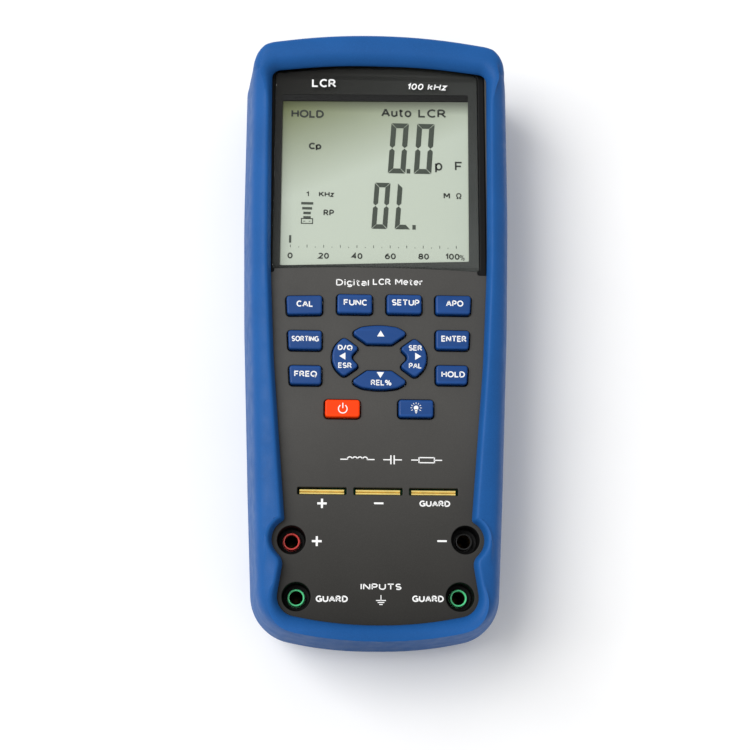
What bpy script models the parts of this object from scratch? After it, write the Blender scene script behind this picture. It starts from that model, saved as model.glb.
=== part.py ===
"""Handheld LCR meter lying on its back: rubber boot, two-part case, display, keys, slots and sockets.

+Z points out of the face, +Y towards the display end, and z = 0 is the plane it rests on. The scene is in
metres, and every size below is in millimetres, turned into metres by the helpers as each shape is made.
"""

import math

import bmesh
import bpy
from mathutils import Matrix, Vector

MM = 0.001
ARC_SAGITTA = 0.05
HIDDEN_SAGITTA = 0.25

# Clearances
GAP = 0.3
SHEET_GAP = 0.1

# Protective boot
BOOT_FRONT = 41.0
BOOT_WALL = 2.4
BOOT_LIP_UNDERSIDE = 37.3
BOOT_BACK_LIP = 2.0
BOOT_BACK_LIP_WIDTH = 8.0
BOOT_EDGE_RADIUS = 3.2
RIM_FLARE = 1.035
RIM_CENTRE_Y = -19.9

# Case shells
CASE_INSET = BOOT_WALL + GAP
CASE_WALL = 2.2
CASE_BACK = 2.3
CASE_PARTING = 25.2
CASE_FRONT = 37.0
PANEL_UNDERSIDE = 34.8
WINDOW_UNDERSIDE = 33.4
CASE_EDGE_RADIUS = 1.2
REAR_FLOOR = 4.5
REAR_RAISED_FLOOR = 6.0

# Display stack, centred a little left of the case
DISPLAY_X = -0.9
LENS_HALF_WIDTH = 33.3
LENS_BOTTOM = 20.2
LENS_TOP = 91.0
LENS_LOW = 35.0
LENS_HIGH = 36.5
VIEW_HALF_WIDTH = 31.6
VIEW_BOTTOM = 21.9
VIEW_TOP = 81.9
LCD_HALF_WIDTH = 32.3
LCD_BOTTOM = 21.6
LCD_TOP = 81.2
ZEBRA_SPACE = 2.6

# Main board
BOARD_LOW = 25.9
BOARD_HIGH = 27.5
BOARD_INSET = 6.2

# Keys
KEY_TOP = 38.4
KEY_FLANGE_LOW = 32.9
KEY_FLANGE_HIGH = 34.4
KEY_FLANGE_REACH = 0.9
KEY_CORNER = 0.9
KEY_EDGE_RADIUS = 0.45
KEY_CLEARANCE = 0.35
SIDE_KEY_INNER = 18.05
SIDE_KEY_LEAN = 0.18
NAV_CENTRE_X = 0.2
NAV_CENTRE_Y = -9.2
DOME_RADIUS = 2.2
DOME_TOP = 32.0
KEYPAD_TOP = 29.2

# Component slots and test-lead sockets
SLOT_Y = -51.5
SLOT_HEIGHT = 2.3
SLOT_HALF_LENGTH = 7.6
SLOT_CENTRES = {"plus": -17.1, "minus": 0.2, "guard": 17.4}
CONTACT_HALF_LENGTH = 6.85
CONTACT_THICKNESS = 0.3
JACK_WELL_RADIUS = 4.4
JACK_WELL_WALL = 1.2
JACK_TOP = 32.1
JACK_BODY_RADIUS = 2.95
JACK_FLANGE_RADIUS = 3.9
JACK_SLEEVE_LOW = 16.0
BARREL_RADIUS = 2.3
BARREL_BORE_RADIUS = 2.0
BARREL_LOW = 13.0

# Battery compartment and cover
TUB_HALF_WIDTH = 14.0
TUB_WALL = 1.6
TUB_LOW_Y = -63.5
TUB_HIGH_Y = -5.5
TUB_BLOCK_LOW_Y = -72.5
TUB_BLOCK_HIGH_Y = 4.0
TUB_CEILING = 23.3
COVER_HALF_WIDTH = 17.5
COVER_LOW_Y = -72.8
COVER_HIGH_Y = 4.3
COVER_HIGH = 4.2

# Tilt stand
STAND_HALF_WIDTH = 26.0
STAND_LEG_WIDTH = 6.0
STAND_BAR_LOW_Y = -80.2
STAND_BAR_WIDTH = 5.6
STAND_CLEARANCE = 0.4
STAND_LOW = 0.7
STAND_HIGH = 3.7
HINGE_Y = 14.0
HINGE_Z = 2.7
HINGE_BARREL_RADIUS = 1.9
HINGE_PIN_RADIUS = 0.95

JACK_POSITIONS = {
    "plus": (-26.5, -66.5),
    "minus": (26.5, -66.5),
    "guard_left": (-24.8, -83.7),
    "guard_right": (24.8, -83.7),
}
CASE_SCREWS = {
    "upper_left": (-28.0, 87.3),
    "upper_right": (28.0, 87.3),
    "lower_left": (-12.0, -87.0),
    "lower_right": (12.0, -87.0),
}
BOARD_SCREWS = {
    "upper_left": (-12.0, 88.0),
    "upper_right": (12.0, 88.0),
    "lower_left": (-28.0, -38.0),
    "lower_right": (28.0, -38.0),
}
COVER_SCREWS = {"upper": (0.0, -0.8), "lower": (0.0, -67.8)}
CASE_BOSS_RADIUS = 3.4
BOARD_BOSS_RADIUS = 2.3
CASE_SCREW_SHANK = 1.35
BOARD_SCREW_SHANK = 0.9
COVER_SCREW_SHANK = 1.25
SCREW_TOP = 31.0


# Scene and material helpers


def clear_scene():
    for obj in list(bpy.data.objects):
        bpy.data.objects.remove(obj, do_unlink=True)


def new_collection(name):
    collection = bpy.data.collections.new(name)
    bpy.context.scene.collection.children.link(collection)
    return collection


def material(name, colour, roughness, metallic=0.0, alpha=1.0):
    made = bpy.data.materials.new(name)
    made.use_nodes = True
    made.diffuse_color = (*colour, alpha)
    shader = made.node_tree.nodes["Principled BSDF"]
    shader.inputs["Base Color"].default_value = (*colour, 1.0)
    shader.inputs["Roughness"].default_value = roughness
    shader.inputs["Metallic"].default_value = metallic
    shader.inputs["Alpha"].default_value = alpha
    return made


def finish_part(obj, name, finish):
    """Names a part and gives it its material and its smooth shading."""
    obj.name = name
    obj.data.name = name
    obj.data.materials.clear()
    obj.data.materials.append(finish)
    obj.data.shade_smooth()
    obj.data.set_sharp_from_angle(angle=math.radians(35.0))
    return obj


def finish_cutter(obj, name):
    obj.name = name
    obj.hide_render = True
    obj.display_type = "WIRE"
    PARTS.objects.unlink(obj)
    CUTTERS.objects.link(obj)
    return obj


def mesh_object(name, mesh):
    obj = bpy.data.objects.new(name, mesh)
    PARTS.objects.link(obj)
    return obj


def set_origin(obj, point):
    """Moves the origin to a point, in millimetres, and leaves the shape where it is."""
    offset = Vector(point) * MM
    obj.data.transform(Matrix.Translation(-offset))
    obj.matrix_world = Matrix.Translation(offset)


# Outlines, in millimetres


def arc_steps(radius, turn, sagitta=ARC_SAGITTA):
    """How many chords keep within the sagitta of an arc."""
    return max(2, math.ceil(abs(turn) / (2 * math.acos(1 - sagitta / max(radius, 0.5)))))


def rounded(corners):
    """Points of a closed outline whose corners (x, y, radius) are rounded by arcs."""
    points = []
    for i, (x, y, radius) in enumerate(corners):
        here = Vector((x, y))
        if radius == 0.0:
            points.append(here)
            continue
        back = (Vector(corners[i - 1][:2]) - here).normalized()
        ahead = (Vector(corners[(i + 1) % len(corners)][:2]) - here).normalized()
        half_angle = back.angle(ahead) / 2
        centre = here + (back + ahead).normalized() * radius / math.sin(half_angle)
        start = here + back * radius / math.tan(half_angle) - centre
        turn = math.pi - 2 * half_angle
        if back.x * ahead.y - back.y * ahead.x > 0:
            turn = -turn
        steps = arc_steps(radius, turn)
        for step in range(steps + 1):
            points.append(centre + Matrix.Rotation(turn * step / steps, 2) @ start)
    return points


def mirrored(right_half):
    """Closed corner list from the half at +X, listed from its bottom to its top."""
    return right_half + [(-x, y, radius) for x, y, radius in reversed(right_half)]


def inset(points, distance):
    """The outline moved inwards by a distance, or outwards where it is negative."""
    moved = []
    for i, here in enumerate(points):
        before = (here - points[i - 1]).normalized()
        after = (points[(i + 1) % len(points)] - here).normalized()
        normal = Vector((-before.y, before.x)) + Vector((-after.y, after.x))
        moved.append(here + normal * 2 * distance / normal.length_squared)
    return moved


def rectangle(x_low, y_low, x_high, y_high, radius=0.0):
    corners = [(x_low, y_low), (x_high, y_low), (x_high, y_high), (x_low, y_high)]
    return rounded([(x, y, radius) for x, y in corners])


def circle(x, y, radius, sagitta=HIDDEN_SAGITTA):
    steps = arc_steps(radius, 2 * math.pi, sagitta)
    turns = [2 * math.pi * i / steps for i in range(steps)]
    return [Vector((x + radius * math.cos(t), y + radius * math.sin(t))) for t in turns]


def strip(centre_line, thickness):
    """Closed outline of a bent strip of even thickness about an open line of points."""
    line = [Vector(point) for point in centre_line]
    left = []
    right = []
    for i, here in enumerate(line):
        before = (here - line[i - 1]).normalized() if i > 0 else None
        after = (line[i + 1] - here).normalized() if i + 1 < len(line) else None
        before = before or after
        after = after or before
        normal = Vector((-before.y, before.x)) + Vector((-after.y, after.x))
        step = normal * thickness / normal.length_squared
        left.append(here + step)
        right.append(here - step)
    return right + left[::-1]


# Solids


def plate(name, outlines, low, high):
    """Mesh of flat outlines filled and extruded from low to high; an outline in another is a hole."""
    curve = bpy.data.curves.new(name, "CURVE")
    curve.dimensions = "2D"
    curve.fill_mode = "BOTH"
    curve.extrude = (high - low) / 2 * MM
    for outline in outlines:
        spline = curve.splines.new("POLY")
        spline.points.add(len(outline) - 1)
        for point, (x, y) in zip(spline.points, outline):
            point.co = (x * MM, y * MM, 0.0, 1.0)
        spline.use_cyclic_u = True
    source = bpy.data.objects.new(name, curve)
    PARTS.objects.link(source)
    source.location.z = (low + high) / 2 * MM
    graph = bpy.context.evaluated_depsgraph_get()
    mesh = bpy.data.meshes.new_from_object(source.evaluated_get(graph))
    mesh.transform(Matrix.Translation(source.location))
    bpy.data.objects.remove(source)
    work = bmesh.new()
    work.from_mesh(mesh)
    bmesh.ops.remove_doubles(work, verts=work.verts, dist=1e-7)
    if len(outlines) == 1:
        bmesh.ops.dissolve_limit(work, angle_limit=math.radians(0.5), verts=work.verts, edges=work.edges)
    bmesh.ops.recalc_face_normals(work, faces=work.faces)
    if work.calc_volume(signed=True) < 0:
        bmesh.ops.reverse_faces(work, faces=work.faces)
    work.to_mesh(mesh)
    work.free()
    return mesh_object(name, mesh)


def box(name, low, high):
    work = bmesh.new()
    centre = (Vector(low) + Vector(high)) / 2 * MM
    size = (Vector(high) - Vector(low)) * MM
    placing = Matrix.Translation(centre) @ Matrix.Diagonal((*size, 1.0))
    bmesh.ops.create_cube(work, size=1.0, matrix=placing)
    mesh = bpy.data.meshes.new(name)
    work.to_mesh(mesh)
    work.free()
    return mesh_object(name, mesh)


def cylinder(name, centre, radius, length, axis="Z", sagitta=ARC_SAGITTA):
    turn = Matrix()
    if axis == "X":
        turn = Matrix.Rotation(math.pi / 2, 4, "Y")
    elif axis == "Y":
        turn = Matrix.Rotation(math.pi / 2, 4, "X")
    work = bmesh.new()
    bmesh.ops.create_cone(
        work,
        cap_ends=True,
        segments=arc_steps(radius, 2 * math.pi, sagitta),
        radius1=radius * MM,
        radius2=radius * MM,
        depth=length * MM,
        matrix=Matrix.Translation(Vector(centre) * MM) @ turn,
    )
    mesh = bpy.data.meshes.new(name)
    work.to_mesh(mesh)
    work.free()
    return mesh_object(name, mesh)


def turned(name, profile, x, y, closed=False, steps=16):
    """Body turned about a vertical axis from (radius, z) points that run down its outer side."""
    mesh = bpy.data.meshes.new(name)
    edges = [(i, i + 1) for i in range(len(profile) - 1)]
    if closed:
        edges.append((len(profile) - 1, 0))
    mesh.from_pydata([(radius * MM, 0.0, z * MM) for radius, z in profile], edges, [])
    obj = mesh_object(name, mesh)
    obj.location = (x * MM, y * MM, 0.0)
    screw = obj.modifiers.new("Screw", "SCREW")
    screw.steps = steps
    screw.render_steps = steps
    screw.use_merge_vertices = True
    screw.merge_threshold = 1e-6
    return obj


def bevel(obj, width, segments=2):
    modifier = obj.modifiers.new("Bevel", "BEVEL")
    modifier.width = width * MM
    modifier.segments = segments
    modifier.limit_method = "ANGLE"
    modifier.angle_limit = math.radians(40.0)


def bevel_rims(obj, width, segments, weights):
    """Rounds only the edges that lie flat at the heights in weights, each to its share of width."""
    work = bmesh.new()
    work.from_mesh(obj.data)
    layer = work.edges.layers.float.new("bevel_weight_edge")
    for edge in work.edges:
        ends = [round(vertex.co.z / MM, 3) for vertex in edge.verts]
        if ends[0] == ends[1] and ends[0] in weights:
            edge[layer] = weights[ends[0]]
    work.to_mesh(obj.data)
    work.free()
    modifier = obj.modifiers.new("Bevel", "BEVEL")
    modifier.width = width * MM
    modifier.segments = segments
    modifier.limit_method = "WEIGHT"


def cut(target, cutter, solver="EXACT"):
    modifier = target.modifiers.new("Cut " + cutter.name, "BOOLEAN")
    modifier.operation = "DIFFERENCE"
    modifier.solver = solver
    modifier.object = cutter if cutter.hide_render else finish_cutter(cutter, cutter.name + "_cutter")


def unite(target, other, solver="EXACT"):
    modifier = target.modifiers.new("Join " + other.name, "BOOLEAN")
    modifier.operation = "UNION"
    modifier.solver = solver
    modifier.object = other if other.hide_render else finish_cutter(other, other.name + "_joined")


# Shared outlines


def boot_corners():
    """Outer shape: gently tapering sides, and slightly bowed ends with rounded corners."""
    return mirrored(
        [
            (14.0, -100.0, 115.0),
            (38.0, -94.2, 10.5),
            (40.7, -52.0, 400.0),
            (43.1, 3.6, 400.0),
            (44.0, 40.0, 500.0),
            (44.0, 95.6, 9.5),
            (15.0, 100.0, 190.0),
        ]
    )


def rim_opening_corners():
    """Front opening of the boot, which bulges round each socket."""
    return mirrored(
        [
            (12.0, -92.3, 120.0),
            (31.4, -88.6, 6.0),
            (28.9, -72.8, 4.0),
            (32.5, -68.8, 6.0),
            (32.5, -63.04, 6.0),
            (28.7, -60.8, 1.2),
            (32.9, -11.0, 300.0),
            (34.6, 22.0, 300.0),
            (35.3, 87.3, 3.0),
            (14.5, 89.8, 180.0),
        ]
    )


def lens_corners(grow=0.0):
    half = LENS_HALF_WIDTH + grow
    return [
        (DISPLAY_X, LENS_BOTTOM + 1.5 - grow, 600.0),
        (DISPLAY_X + half, LENS_BOTTOM - grow, 0.8),
        (DISPLAY_X + half, LENS_TOP - 2.5 + grow, 3.0),
        (DISPLAY_X + half / 2, LENS_TOP + grow, 160.0),
        (DISPLAY_X - half / 2, LENS_TOP + grow, 160.0),
        (DISPLAY_X - half, LENS_TOP - 2.5 + grow, 3.0),
        (DISPLAY_X - half, LENS_BOTTOM - grow, 0.8),
    ]


def side_key_corners(side, x_out, y_mid, height, drop=0.0):
    """Key of an outer column: its outer end follows the taper of the case, and may sit lower."""
    low = y_mid - height / 2
    high = y_mid + height / 2
    corners = [
        (SIDE_KEY_INNER, low, KEY_CORNER),
        (x_out - SIDE_KEY_LEAN, low - drop, KEY_CORNER),
        (x_out + SIDE_KEY_LEAN, high - drop, KEY_CORNER),
        (SIDE_KEY_INNER, high, KEY_CORNER),
    ]
    if side > 0:
        return corners
    return [(-x, y, radius) for x, y, radius in reversed(corners)]


def centre_key_corners(x_mid, y_mid, width, height):
    low_x = x_mid - width / 2
    low_y = y_mid - height / 2
    return [
        (low_x, low_y, KEY_CORNER),
        (low_x + width, low_y, KEY_CORNER),
        (low_x + width, low_y + height, KEY_CORNER),
        (low_x, low_y + height, KEY_CORNER),
    ]


def vertical_arrow_corners(side):
    """Upper (side 1) or lower (side -1) key of the oval cluster."""
    corners = mirrored([(3.9, 4.35, 0.8), (8.9, 7.9, 0.9), (4.9, 10.35, 7.0)])
    if side < 0:
        corners = [(x, -y, radius) for x, y, radius in reversed(corners)]
    return [(x + NAV_CENTRE_X, y + NAV_CENTRE_Y, radius) for x, y, radius in corners]


def side_arrow_corners(side):
    """Right (side 1) or left (side -1) key of the oval cluster, notched on its inner side."""
    right = [
        (8.7, 0.0, 1.1),
        (6.4, -2.9, 0.8),
        (11.3, -6.6, 1.2),
        (14.8, -2.9, 6.0),
        (14.8, 2.9, 6.0),
        (11.3, 6.6, 1.2),
        (6.4, 2.9, 0.8),
    ]
    if side < 0:
        right = [(-x, y, radius) for x, y, radius in reversed(right)]
    return [(x + NAV_CENTRE_X, y + NAV_CENTRE_Y, radius) for x, y, radius in right]


def key_layout():
    """Name to corner list for each of the fourteen keys."""
    return {
        "key_cal": side_key_corners(-1, 29.2, 7.65, 6.1, 0.3),
        "key_apo": side_key_corners(1, 29.2, 8.25, 6.1),
        "key_func": centre_key_corners(-7.7, 8.1, 11.0, 6.2),
        "key_setup": centre_key_corners(8.0, 8.25, 11.0, 6.2),
        "key_sorting": side_key_corners(-1, 28.55, -3.9, 6.1),
        "key_enter": side_key_corners(1, 28.55, -3.2, 6.1),
        "key_freq": side_key_corners(-1, 27.95, -15.2, 6.0),
        "key_hold": side_key_corners(1, 27.95, -14.55, 6.0),
        "key_up": vertical_arrow_corners(1),
        "key_down": vertical_arrow_corners(-1),
        "key_left": side_arrow_corners(-1),
        "key_right": side_arrow_corners(1),
        "key_power": centre_key_corners(-11.3, -25.75, 10.8, 5.5),
        "key_light": centre_key_corners(11.65, -25.5, 10.8, 5.5),
    }


def middle_of(corners):
    xs = [corner[0] for corner in corners]
    ys = [corner[1] for corner in corners]
    return (min(xs) + max(xs)) / 2, (min(ys) + max(ys)) / 2


# Shells


def make_boot(outline):
    boot = plate("boot", [outline], 0.0, BOOT_FRONT)
    bevel_rims(boot, BOOT_EDGE_RADIUS, 4, {BOOT_FRONT: 1.0, 0.0: 0.7})
    cut(boot, plate("boot_cavity", [inset(outline, BOOT_WALL)], BOOT_BACK_LIP, BOOT_LIP_UNDERSIDE))
    opening = plate("boot_front_opening", [rounded(rim_opening_corners())], 36.0, BOOT_FRONT + 1.0)
    for vertex in opening.data.vertices:
        if vertex.co.z > BOOT_FRONT * MM:
            vertex.co.x *= RIM_FLARE
            vertex.co.y = (vertex.co.y - RIM_CENTRE_Y * MM) * RIM_FLARE + RIM_CENTRE_Y * MM
    cut(boot, opening)
    back_outline = inset(outline, BOOT_BACK_LIP_WIDTH)
    cut(boot, plate("boot_back_opening", [back_outline], -1.0, BOOT_BACK_LIP + 1.0))
    return finish_part(boot, "protective_boot", material("boot_rubber", (0.016, 0.1, 0.35), 0.55))


def make_front_case(case_outline):
    """Front shell: the panel with its openings, four screw bosses and a well round each socket.

    The cavity's filled caps have slivers between their many holes, so this shell takes the
    MANIFOLD solver.
    """
    case = plate("case_front", [case_outline], CASE_PARTING + GAP, CASE_FRONT)
    bevel_rims(case, CASE_EDGE_RADIUS, 1, {CASE_FRONT: 1.0})
    inner = inset(case_outline, CASE_WALL)
    bosses = [circle(x, y, CASE_BOSS_RADIUS) for x, y in CASE_SCREWS.values()]
    bosses += [circle(x, y, BOARD_BOSS_RADIUS) for x, y in BOARD_SCREWS.values()]
    well_radius = JACK_WELL_RADIUS + JACK_WELL_WALL
    wells = [circle(x, y, well_radius) for x, y in JACK_POSITIONS.values()]
    cut(case, plate("front_cavity", [inner, *bosses, *wells], CASE_PARTING, WINDOW_UNDERSIDE), "MANIFOLD")
    upper = [inset(inner, SHEET_GAP), rounded(lens_corners(1.9))]
    for screws, radius in ((CASE_SCREWS, CASE_BOSS_RADIUS), (BOARD_SCREWS, BOARD_BOSS_RADIUS)):
        lower = [place for name, place in screws.items() if "lower" in name]
        upper += [circle(x, y, radius + SHEET_GAP) for x, y in lower]
    upper += [circle(x, y, well_radius + SHEET_GAP) for x, y in JACK_POSITIONS.values()]
    cut(case, plate("panel_cavity", upper, WINDOW_UNDERSIDE - GAP, PANEL_UNDERSIDE), "MANIFOLD")
    recess = rounded(lens_corners(0.5))
    cut(case, plate("lens_recess", [recess], LENS_LOW - 0.5, CASE_FRONT + 1.0), "MANIFOLD")
    view = rectangle(DISPLAY_X - VIEW_HALF_WIDTH, VIEW_BOTTOM, DISPLAY_X + VIEW_HALF_WIDTH, VIEW_TOP, 0.8)
    cut(case, plate("view_opening", [view], WINDOW_UNDERSIDE - 1.0, LENS_LOW), "MANIFOLD")
    key_openings = [inset(rounded(corners), -KEY_CLEARANCE) for corners in key_layout().values()]
    cut(case, plate("key_openings", key_openings, PANEL_UNDERSIDE - 1.0, CASE_FRONT + 1.0), "MANIFOLD")
    low_y = SLOT_Y - SLOT_HEIGHT / 2
    slots = [
        rectangle(x - SLOT_HALF_LENGTH, low_y, x + SLOT_HALF_LENGTH, low_y + SLOT_HEIGHT)
        for x in SLOT_CENTRES.values()
    ]
    holes = [circle(x, y, JACK_WELL_RADIUS, ARC_SAGITTA) for x, y in JACK_POSITIONS.values()]
    cut(case, plate("slot_and_socket_holes", slots + holes, CASE_PARTING, CASE_FRONT + 1.0), "MANIFOLD")
    trims = [circle(x, y, well_radius + 0.5) for x, y in JACK_POSITIONS.values()]
    trims += [circle(x, y, BOARD_BOSS_RADIUS + 0.5) for x, y in BOARD_SCREWS.values()]
    cut(case, plate("boss_trim", trims, CASE_PARTING, BOARD_HIGH + GAP), "MANIFOLD")
    pilots = [circle(x, y, CASE_SCREW_SHANK + 0.25) for x, y in CASE_SCREWS.values()]
    pilots += [circle(x, y, BOARD_SCREW_SHANK + GAP) for x, y in BOARD_SCREWS.values()]
    cut(case, plate("screw_pilots", pilots, CASE_PARTING, SCREW_TOP + 1.0), "MANIFOLD")
    return finish_part(case, "front_case", material("front_case_plastic", (0.075, 0.073, 0.068), 0.5))


def make_rear_case(case_outline):
    """Rear shell: battery compartment, screw bosses, stand pocket and the stand's two hinge ears.

    Like the front shell, it takes the MANIFOLD solver for the slivers round its many holes.
    """
    case = plate("case_rear", [case_outline], CASE_BACK, CASE_PARTING)
    bevel_rims(case, CASE_EDGE_RADIUS, 1, {CASE_BACK: 1.0})
    inner = inset(case_outline, CASE_WALL)
    bosses = [circle(x, y, 4.2) for x, y in CASE_SCREWS.values()]
    tub_half = TUB_HALF_WIDTH + TUB_WALL
    tub = rectangle(-tub_half, TUB_BLOCK_LOW_Y, tub_half, TUB_BLOCK_HIGH_Y)
    cavity = [inner, *bosses, tub]
    cut(case, plate("rear_cavity", cavity, REAR_RAISED_FLOOR, CASE_PARTING + 1.0), "MANIFOLD")
    raised = rectangle(-30.6, -82.0, 30.6, 22.0, 1.0)
    floor = [inner, *bosses, raised]
    cut(case, plate("rear_floor", floor, REAR_FLOOR, REAR_RAISED_FLOOR + 0.5), "MANIFOLD")
    for side in (-1, 1):
        ends = sorted((side * (STAND_HALF_WIDTH + 0.7), side * (STAND_HALF_WIDTH + 4.2)))
        ear_low = (ends[0], HINGE_Y - 3.6, STAND_LOW)
        unite(case, box("hinge_ear", ear_low, (ends[1], HINGE_Y + 3.6, 5.0)), "MANIFOLD")
        hole_centre = (side * (STAND_HALF_WIDTH + 1.8), HINGE_Y, HINGE_Z)
        hole = cylinder("hinge_pin_hole", hole_centre, HINGE_PIN_RADIUS + 0.25, 2.8, "X")
        cut(case, hole, "MANIFOLD")
    pocket = inset(rounded(stand_corners()), -STAND_CLEARANCE)
    cut(case, plate("stand_pocket", [pocket], CASE_BACK - 2.0, STAND_HIGH + GAP), "MANIFOLD")
    for side in (-1, 1):
        inner_x = STAND_HALF_WIDTH - STAND_LEG_WIDTH - STAND_CLEARANCE
        ends = sorted((side * inner_x, side * (STAND_HALF_WIDTH + STAND_CLEARANCE)))
        pocket_high = (ends[1], HINGE_Y + 2.4, 5.0)
        cut(case, box("hinge_pocket", (ends[0], HINGE_Y - 2.8, 1.0), pocket_high), "MANIFOLD")
    cover = rectangle(-COVER_HALF_WIDTH, COVER_LOW_Y, COVER_HALF_WIDTH, COVER_HIGH_Y)
    cover_space = inset(cover, -GAP)
    cut(case, plate("cover_opening", [cover_space], CASE_BACK - 1.0, COVER_HIGH + GAP), "MANIFOLD")
    tub_inner = rectangle(-TUB_HALF_WIDTH, TUB_LOW_Y, TUB_HALF_WIDTH, TUB_HIGH_Y)
    cut(case, plate("battery_space", [tub_inner], COVER_HIGH, TUB_CEILING), "MANIFOLD")
    notch_high = (3.5, TUB_BLOCK_HIGH_Y + 1.0, CASE_PARTING + 1.0)
    cut(case, box("lead_notch", (-3.5, TUB_HIGH_Y - 1.5, 17.0), notch_high), "MANIFOLD")
    recesses = [circle(x, y, 4.1) for x, y in COVER_SCREWS.values()]
    cut(case, plate("cover_boss_recess", recesses, COVER_HIGH, 5.9), "MANIFOLD")
    pilots = [circle(x, y, COVER_SCREW_SHANK + GAP) for x, y in COVER_SCREWS.values()]
    cut(case, plate("cover_screw_pilots", pilots, 5.0, 12.5), "MANIFOLD")
    heads = [circle(x, y, 3.1, ARC_SAGITTA) for x, y in CASE_SCREWS.values()]
    cut(case, plate("screw_head_holes", heads, CASE_BACK - 1.0, 9.4), "MANIFOLD")
    shanks = [circle(x, y, 1.75) for x, y in CASE_SCREWS.values()]
    cut(case, plate("screw_shank_holes", shanks, 9.0, CASE_PARTING + 1.0), "MANIFOLD")
    return finish_part(case, "rear_case", material("rear_case_plastic", (0.05, 0.05, 0.05), 0.6))


def make_battery_cover():
    outline = rectangle(-COVER_HALF_WIDTH, COVER_LOW_Y, COVER_HALF_WIDTH, COVER_HIGH_Y, 1.0)
    cover = plate("cover", [outline], CASE_BACK, COVER_HIGH)
    for x, y in COVER_SCREWS.values():
        unite(cover, cylinder("cover_boss", (x, y, 4.8), 3.7, 1.6, sagitta=HIDDEN_SAGITTA))
        cut(cover, cylinder("cover_head_hole", (x, y, 3.2), 2.9, 2.2))
        cut(cover, cylinder("cover_shank_hole", (x, y, 5.0), 1.6, 2.6, sagitta=HIDDEN_SAGITTA))
    for y in (-40.0, -36.0, -32.0, -28.0):
        cut(cover, box("cover_grip", (-8.0, y - 0.8, 2.0), (8.0, y + 0.8, 2.8)))
    set_origin(cover, (0.0, (COVER_LOW_Y + COVER_HIGH_Y) / 2, CASE_BACK))
    black = material("battery_cover_plastic", (0.055, 0.055, 0.055), 0.6)
    return finish_part(cover, "battery_cover", black)


def stand_corners():
    """U shape: two legs down from the hinge and a bar across their ends."""
    inner = STAND_HALF_WIDTH - STAND_LEG_WIDTH
    bar_high = STAND_BAR_LOW_Y + STAND_BAR_WIDTH
    return mirrored(
        [
            (STAND_HALF_WIDTH, STAND_BAR_LOW_Y, 4.0),
            (STAND_HALF_WIDTH, HINGE_Y, 0.0),
            (inner, HINGE_Y, 0.0),
            (inner, bar_high, 1.5),
        ]
    )


def make_tilt_stand():
    stand = plate("stand", [rounded(stand_corners())], STAND_LOW, STAND_HIGH)
    leg_middle = STAND_HALF_WIDTH - STAND_LEG_WIDTH / 2
    for side in (-1, 1):
        barrel_centre = (side * leg_middle, HINGE_Y, HINGE_Z)
        barrel = cylinder("stand_barrel", barrel_centre, HINGE_BARREL_RADIUS, STAND_LEG_WIDTH, "X")
        unite(stand, barrel)
        pin_centre = (side * (STAND_HALF_WIDTH + 1.2), HINGE_Y, HINGE_Z)
        unite(stand, cylinder("stand_pin", pin_centre, HINGE_PIN_RADIUS, 3.0, "X"))
    set_origin(stand, (0.0, HINGE_Y, HINGE_Z))
    return finish_part(stand, "tilt_stand", material("stand_plastic", (0.05, 0.05, 0.052), 0.5))


# Display


def make_display():
    lens = plate("lens", [rounded(lens_corners())], LENS_LOW, LENS_HIGH)
    finish_part(lens, "display_lens", material("lens_acrylic", (0.9, 0.92, 0.9), 0.05, alpha=0.3))
    view = rectangle(DISPLAY_X - VIEW_HALF_WIDTH, VIEW_BOTTOM, DISPLAY_X + VIEW_HALF_WIDTH, VIEW_TOP)
    ring = [rounded(lens_corners(-0.4)), inset(view, -0.4)]
    gasket = plate("gasket", ring, LENS_LOW - 0.4, LENS_LOW - SHEET_GAP)
    finish_part(gasket, "lens_gasket", material("gasket_foam", (0.02, 0.02, 0.02), 0.95))
    lcd = rectangle(DISPLAY_X - LCD_HALF_WIDTH, LCD_BOTTOM, DISPLAY_X + LCD_HALF_WIDTH, LCD_TOP)
    glass = plate("glass", [lcd], 30.6, 33.0)
    finish_part(glass, "lcd_glass", material("lcd_cell", (0.5, 0.53, 0.42), 0.25))
    frame = plate("frame", [inset(lcd, -1.4), inset(lcd, -0.4)], BOARD_HIGH + GAP, 33.1)
    finish_part(frame, "lcd_frame", material("lcd_frame_plastic", (0.6, 0.6, 0.58), 0.5))
    low_y = LCD_BOTTOM + ZEBRA_SPACE
    high_y = LCD_TOP - ZEBRA_SPACE
    light = rectangle(lcd[0].x, low_y, lcd[2].x, high_y)
    backlight = plate("backlight", [light], BOARD_HIGH + GAP, 30.3)
    finish_part(backlight, "backlight_panel", material("backlight_acrylic", (0.9, 0.92, 0.9), 0.3))
    for place, y in (("lower", LCD_BOTTOM + 1.1), ("upper", LCD_TOP - 1.1)):
        strip_low = (DISPLAY_X - 30.0, y - 0.9, BOARD_HIGH + GAP)
        rubber = box("zebra", strip_low, (DISPLAY_X + 30.0, y + 0.9, 30.4))
        pink = material("zebra_rubber_" + place, (0.85, 0.45, 0.5), 0.7)
        finish_part(rubber, "zebra_strip_" + place, pink)


# Board and what it carries


def make_board(outline):
    board = plate("board", [inset(outline, BOARD_INSET)], BOARD_LOW, BOARD_HIGH)
    holes = [circle(x, y, 3.8) for x, y in CASE_SCREWS.values()]
    holes += [circle(x, y, JACK_BODY_RADIUS + 0.35) for x, y in JACK_POSITIONS.values()]
    holes += [circle(x, y, 1.5) for x, y in BOARD_SCREWS.values()]
    cut(board, plate("board_holes", holes, BOARD_LOW - 1.0, BOARD_HIGH + 1.0))
    finish_part(board, "main_board", material("board_laminate", (0.02, 0.16, 0.06), 0.45))


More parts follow.
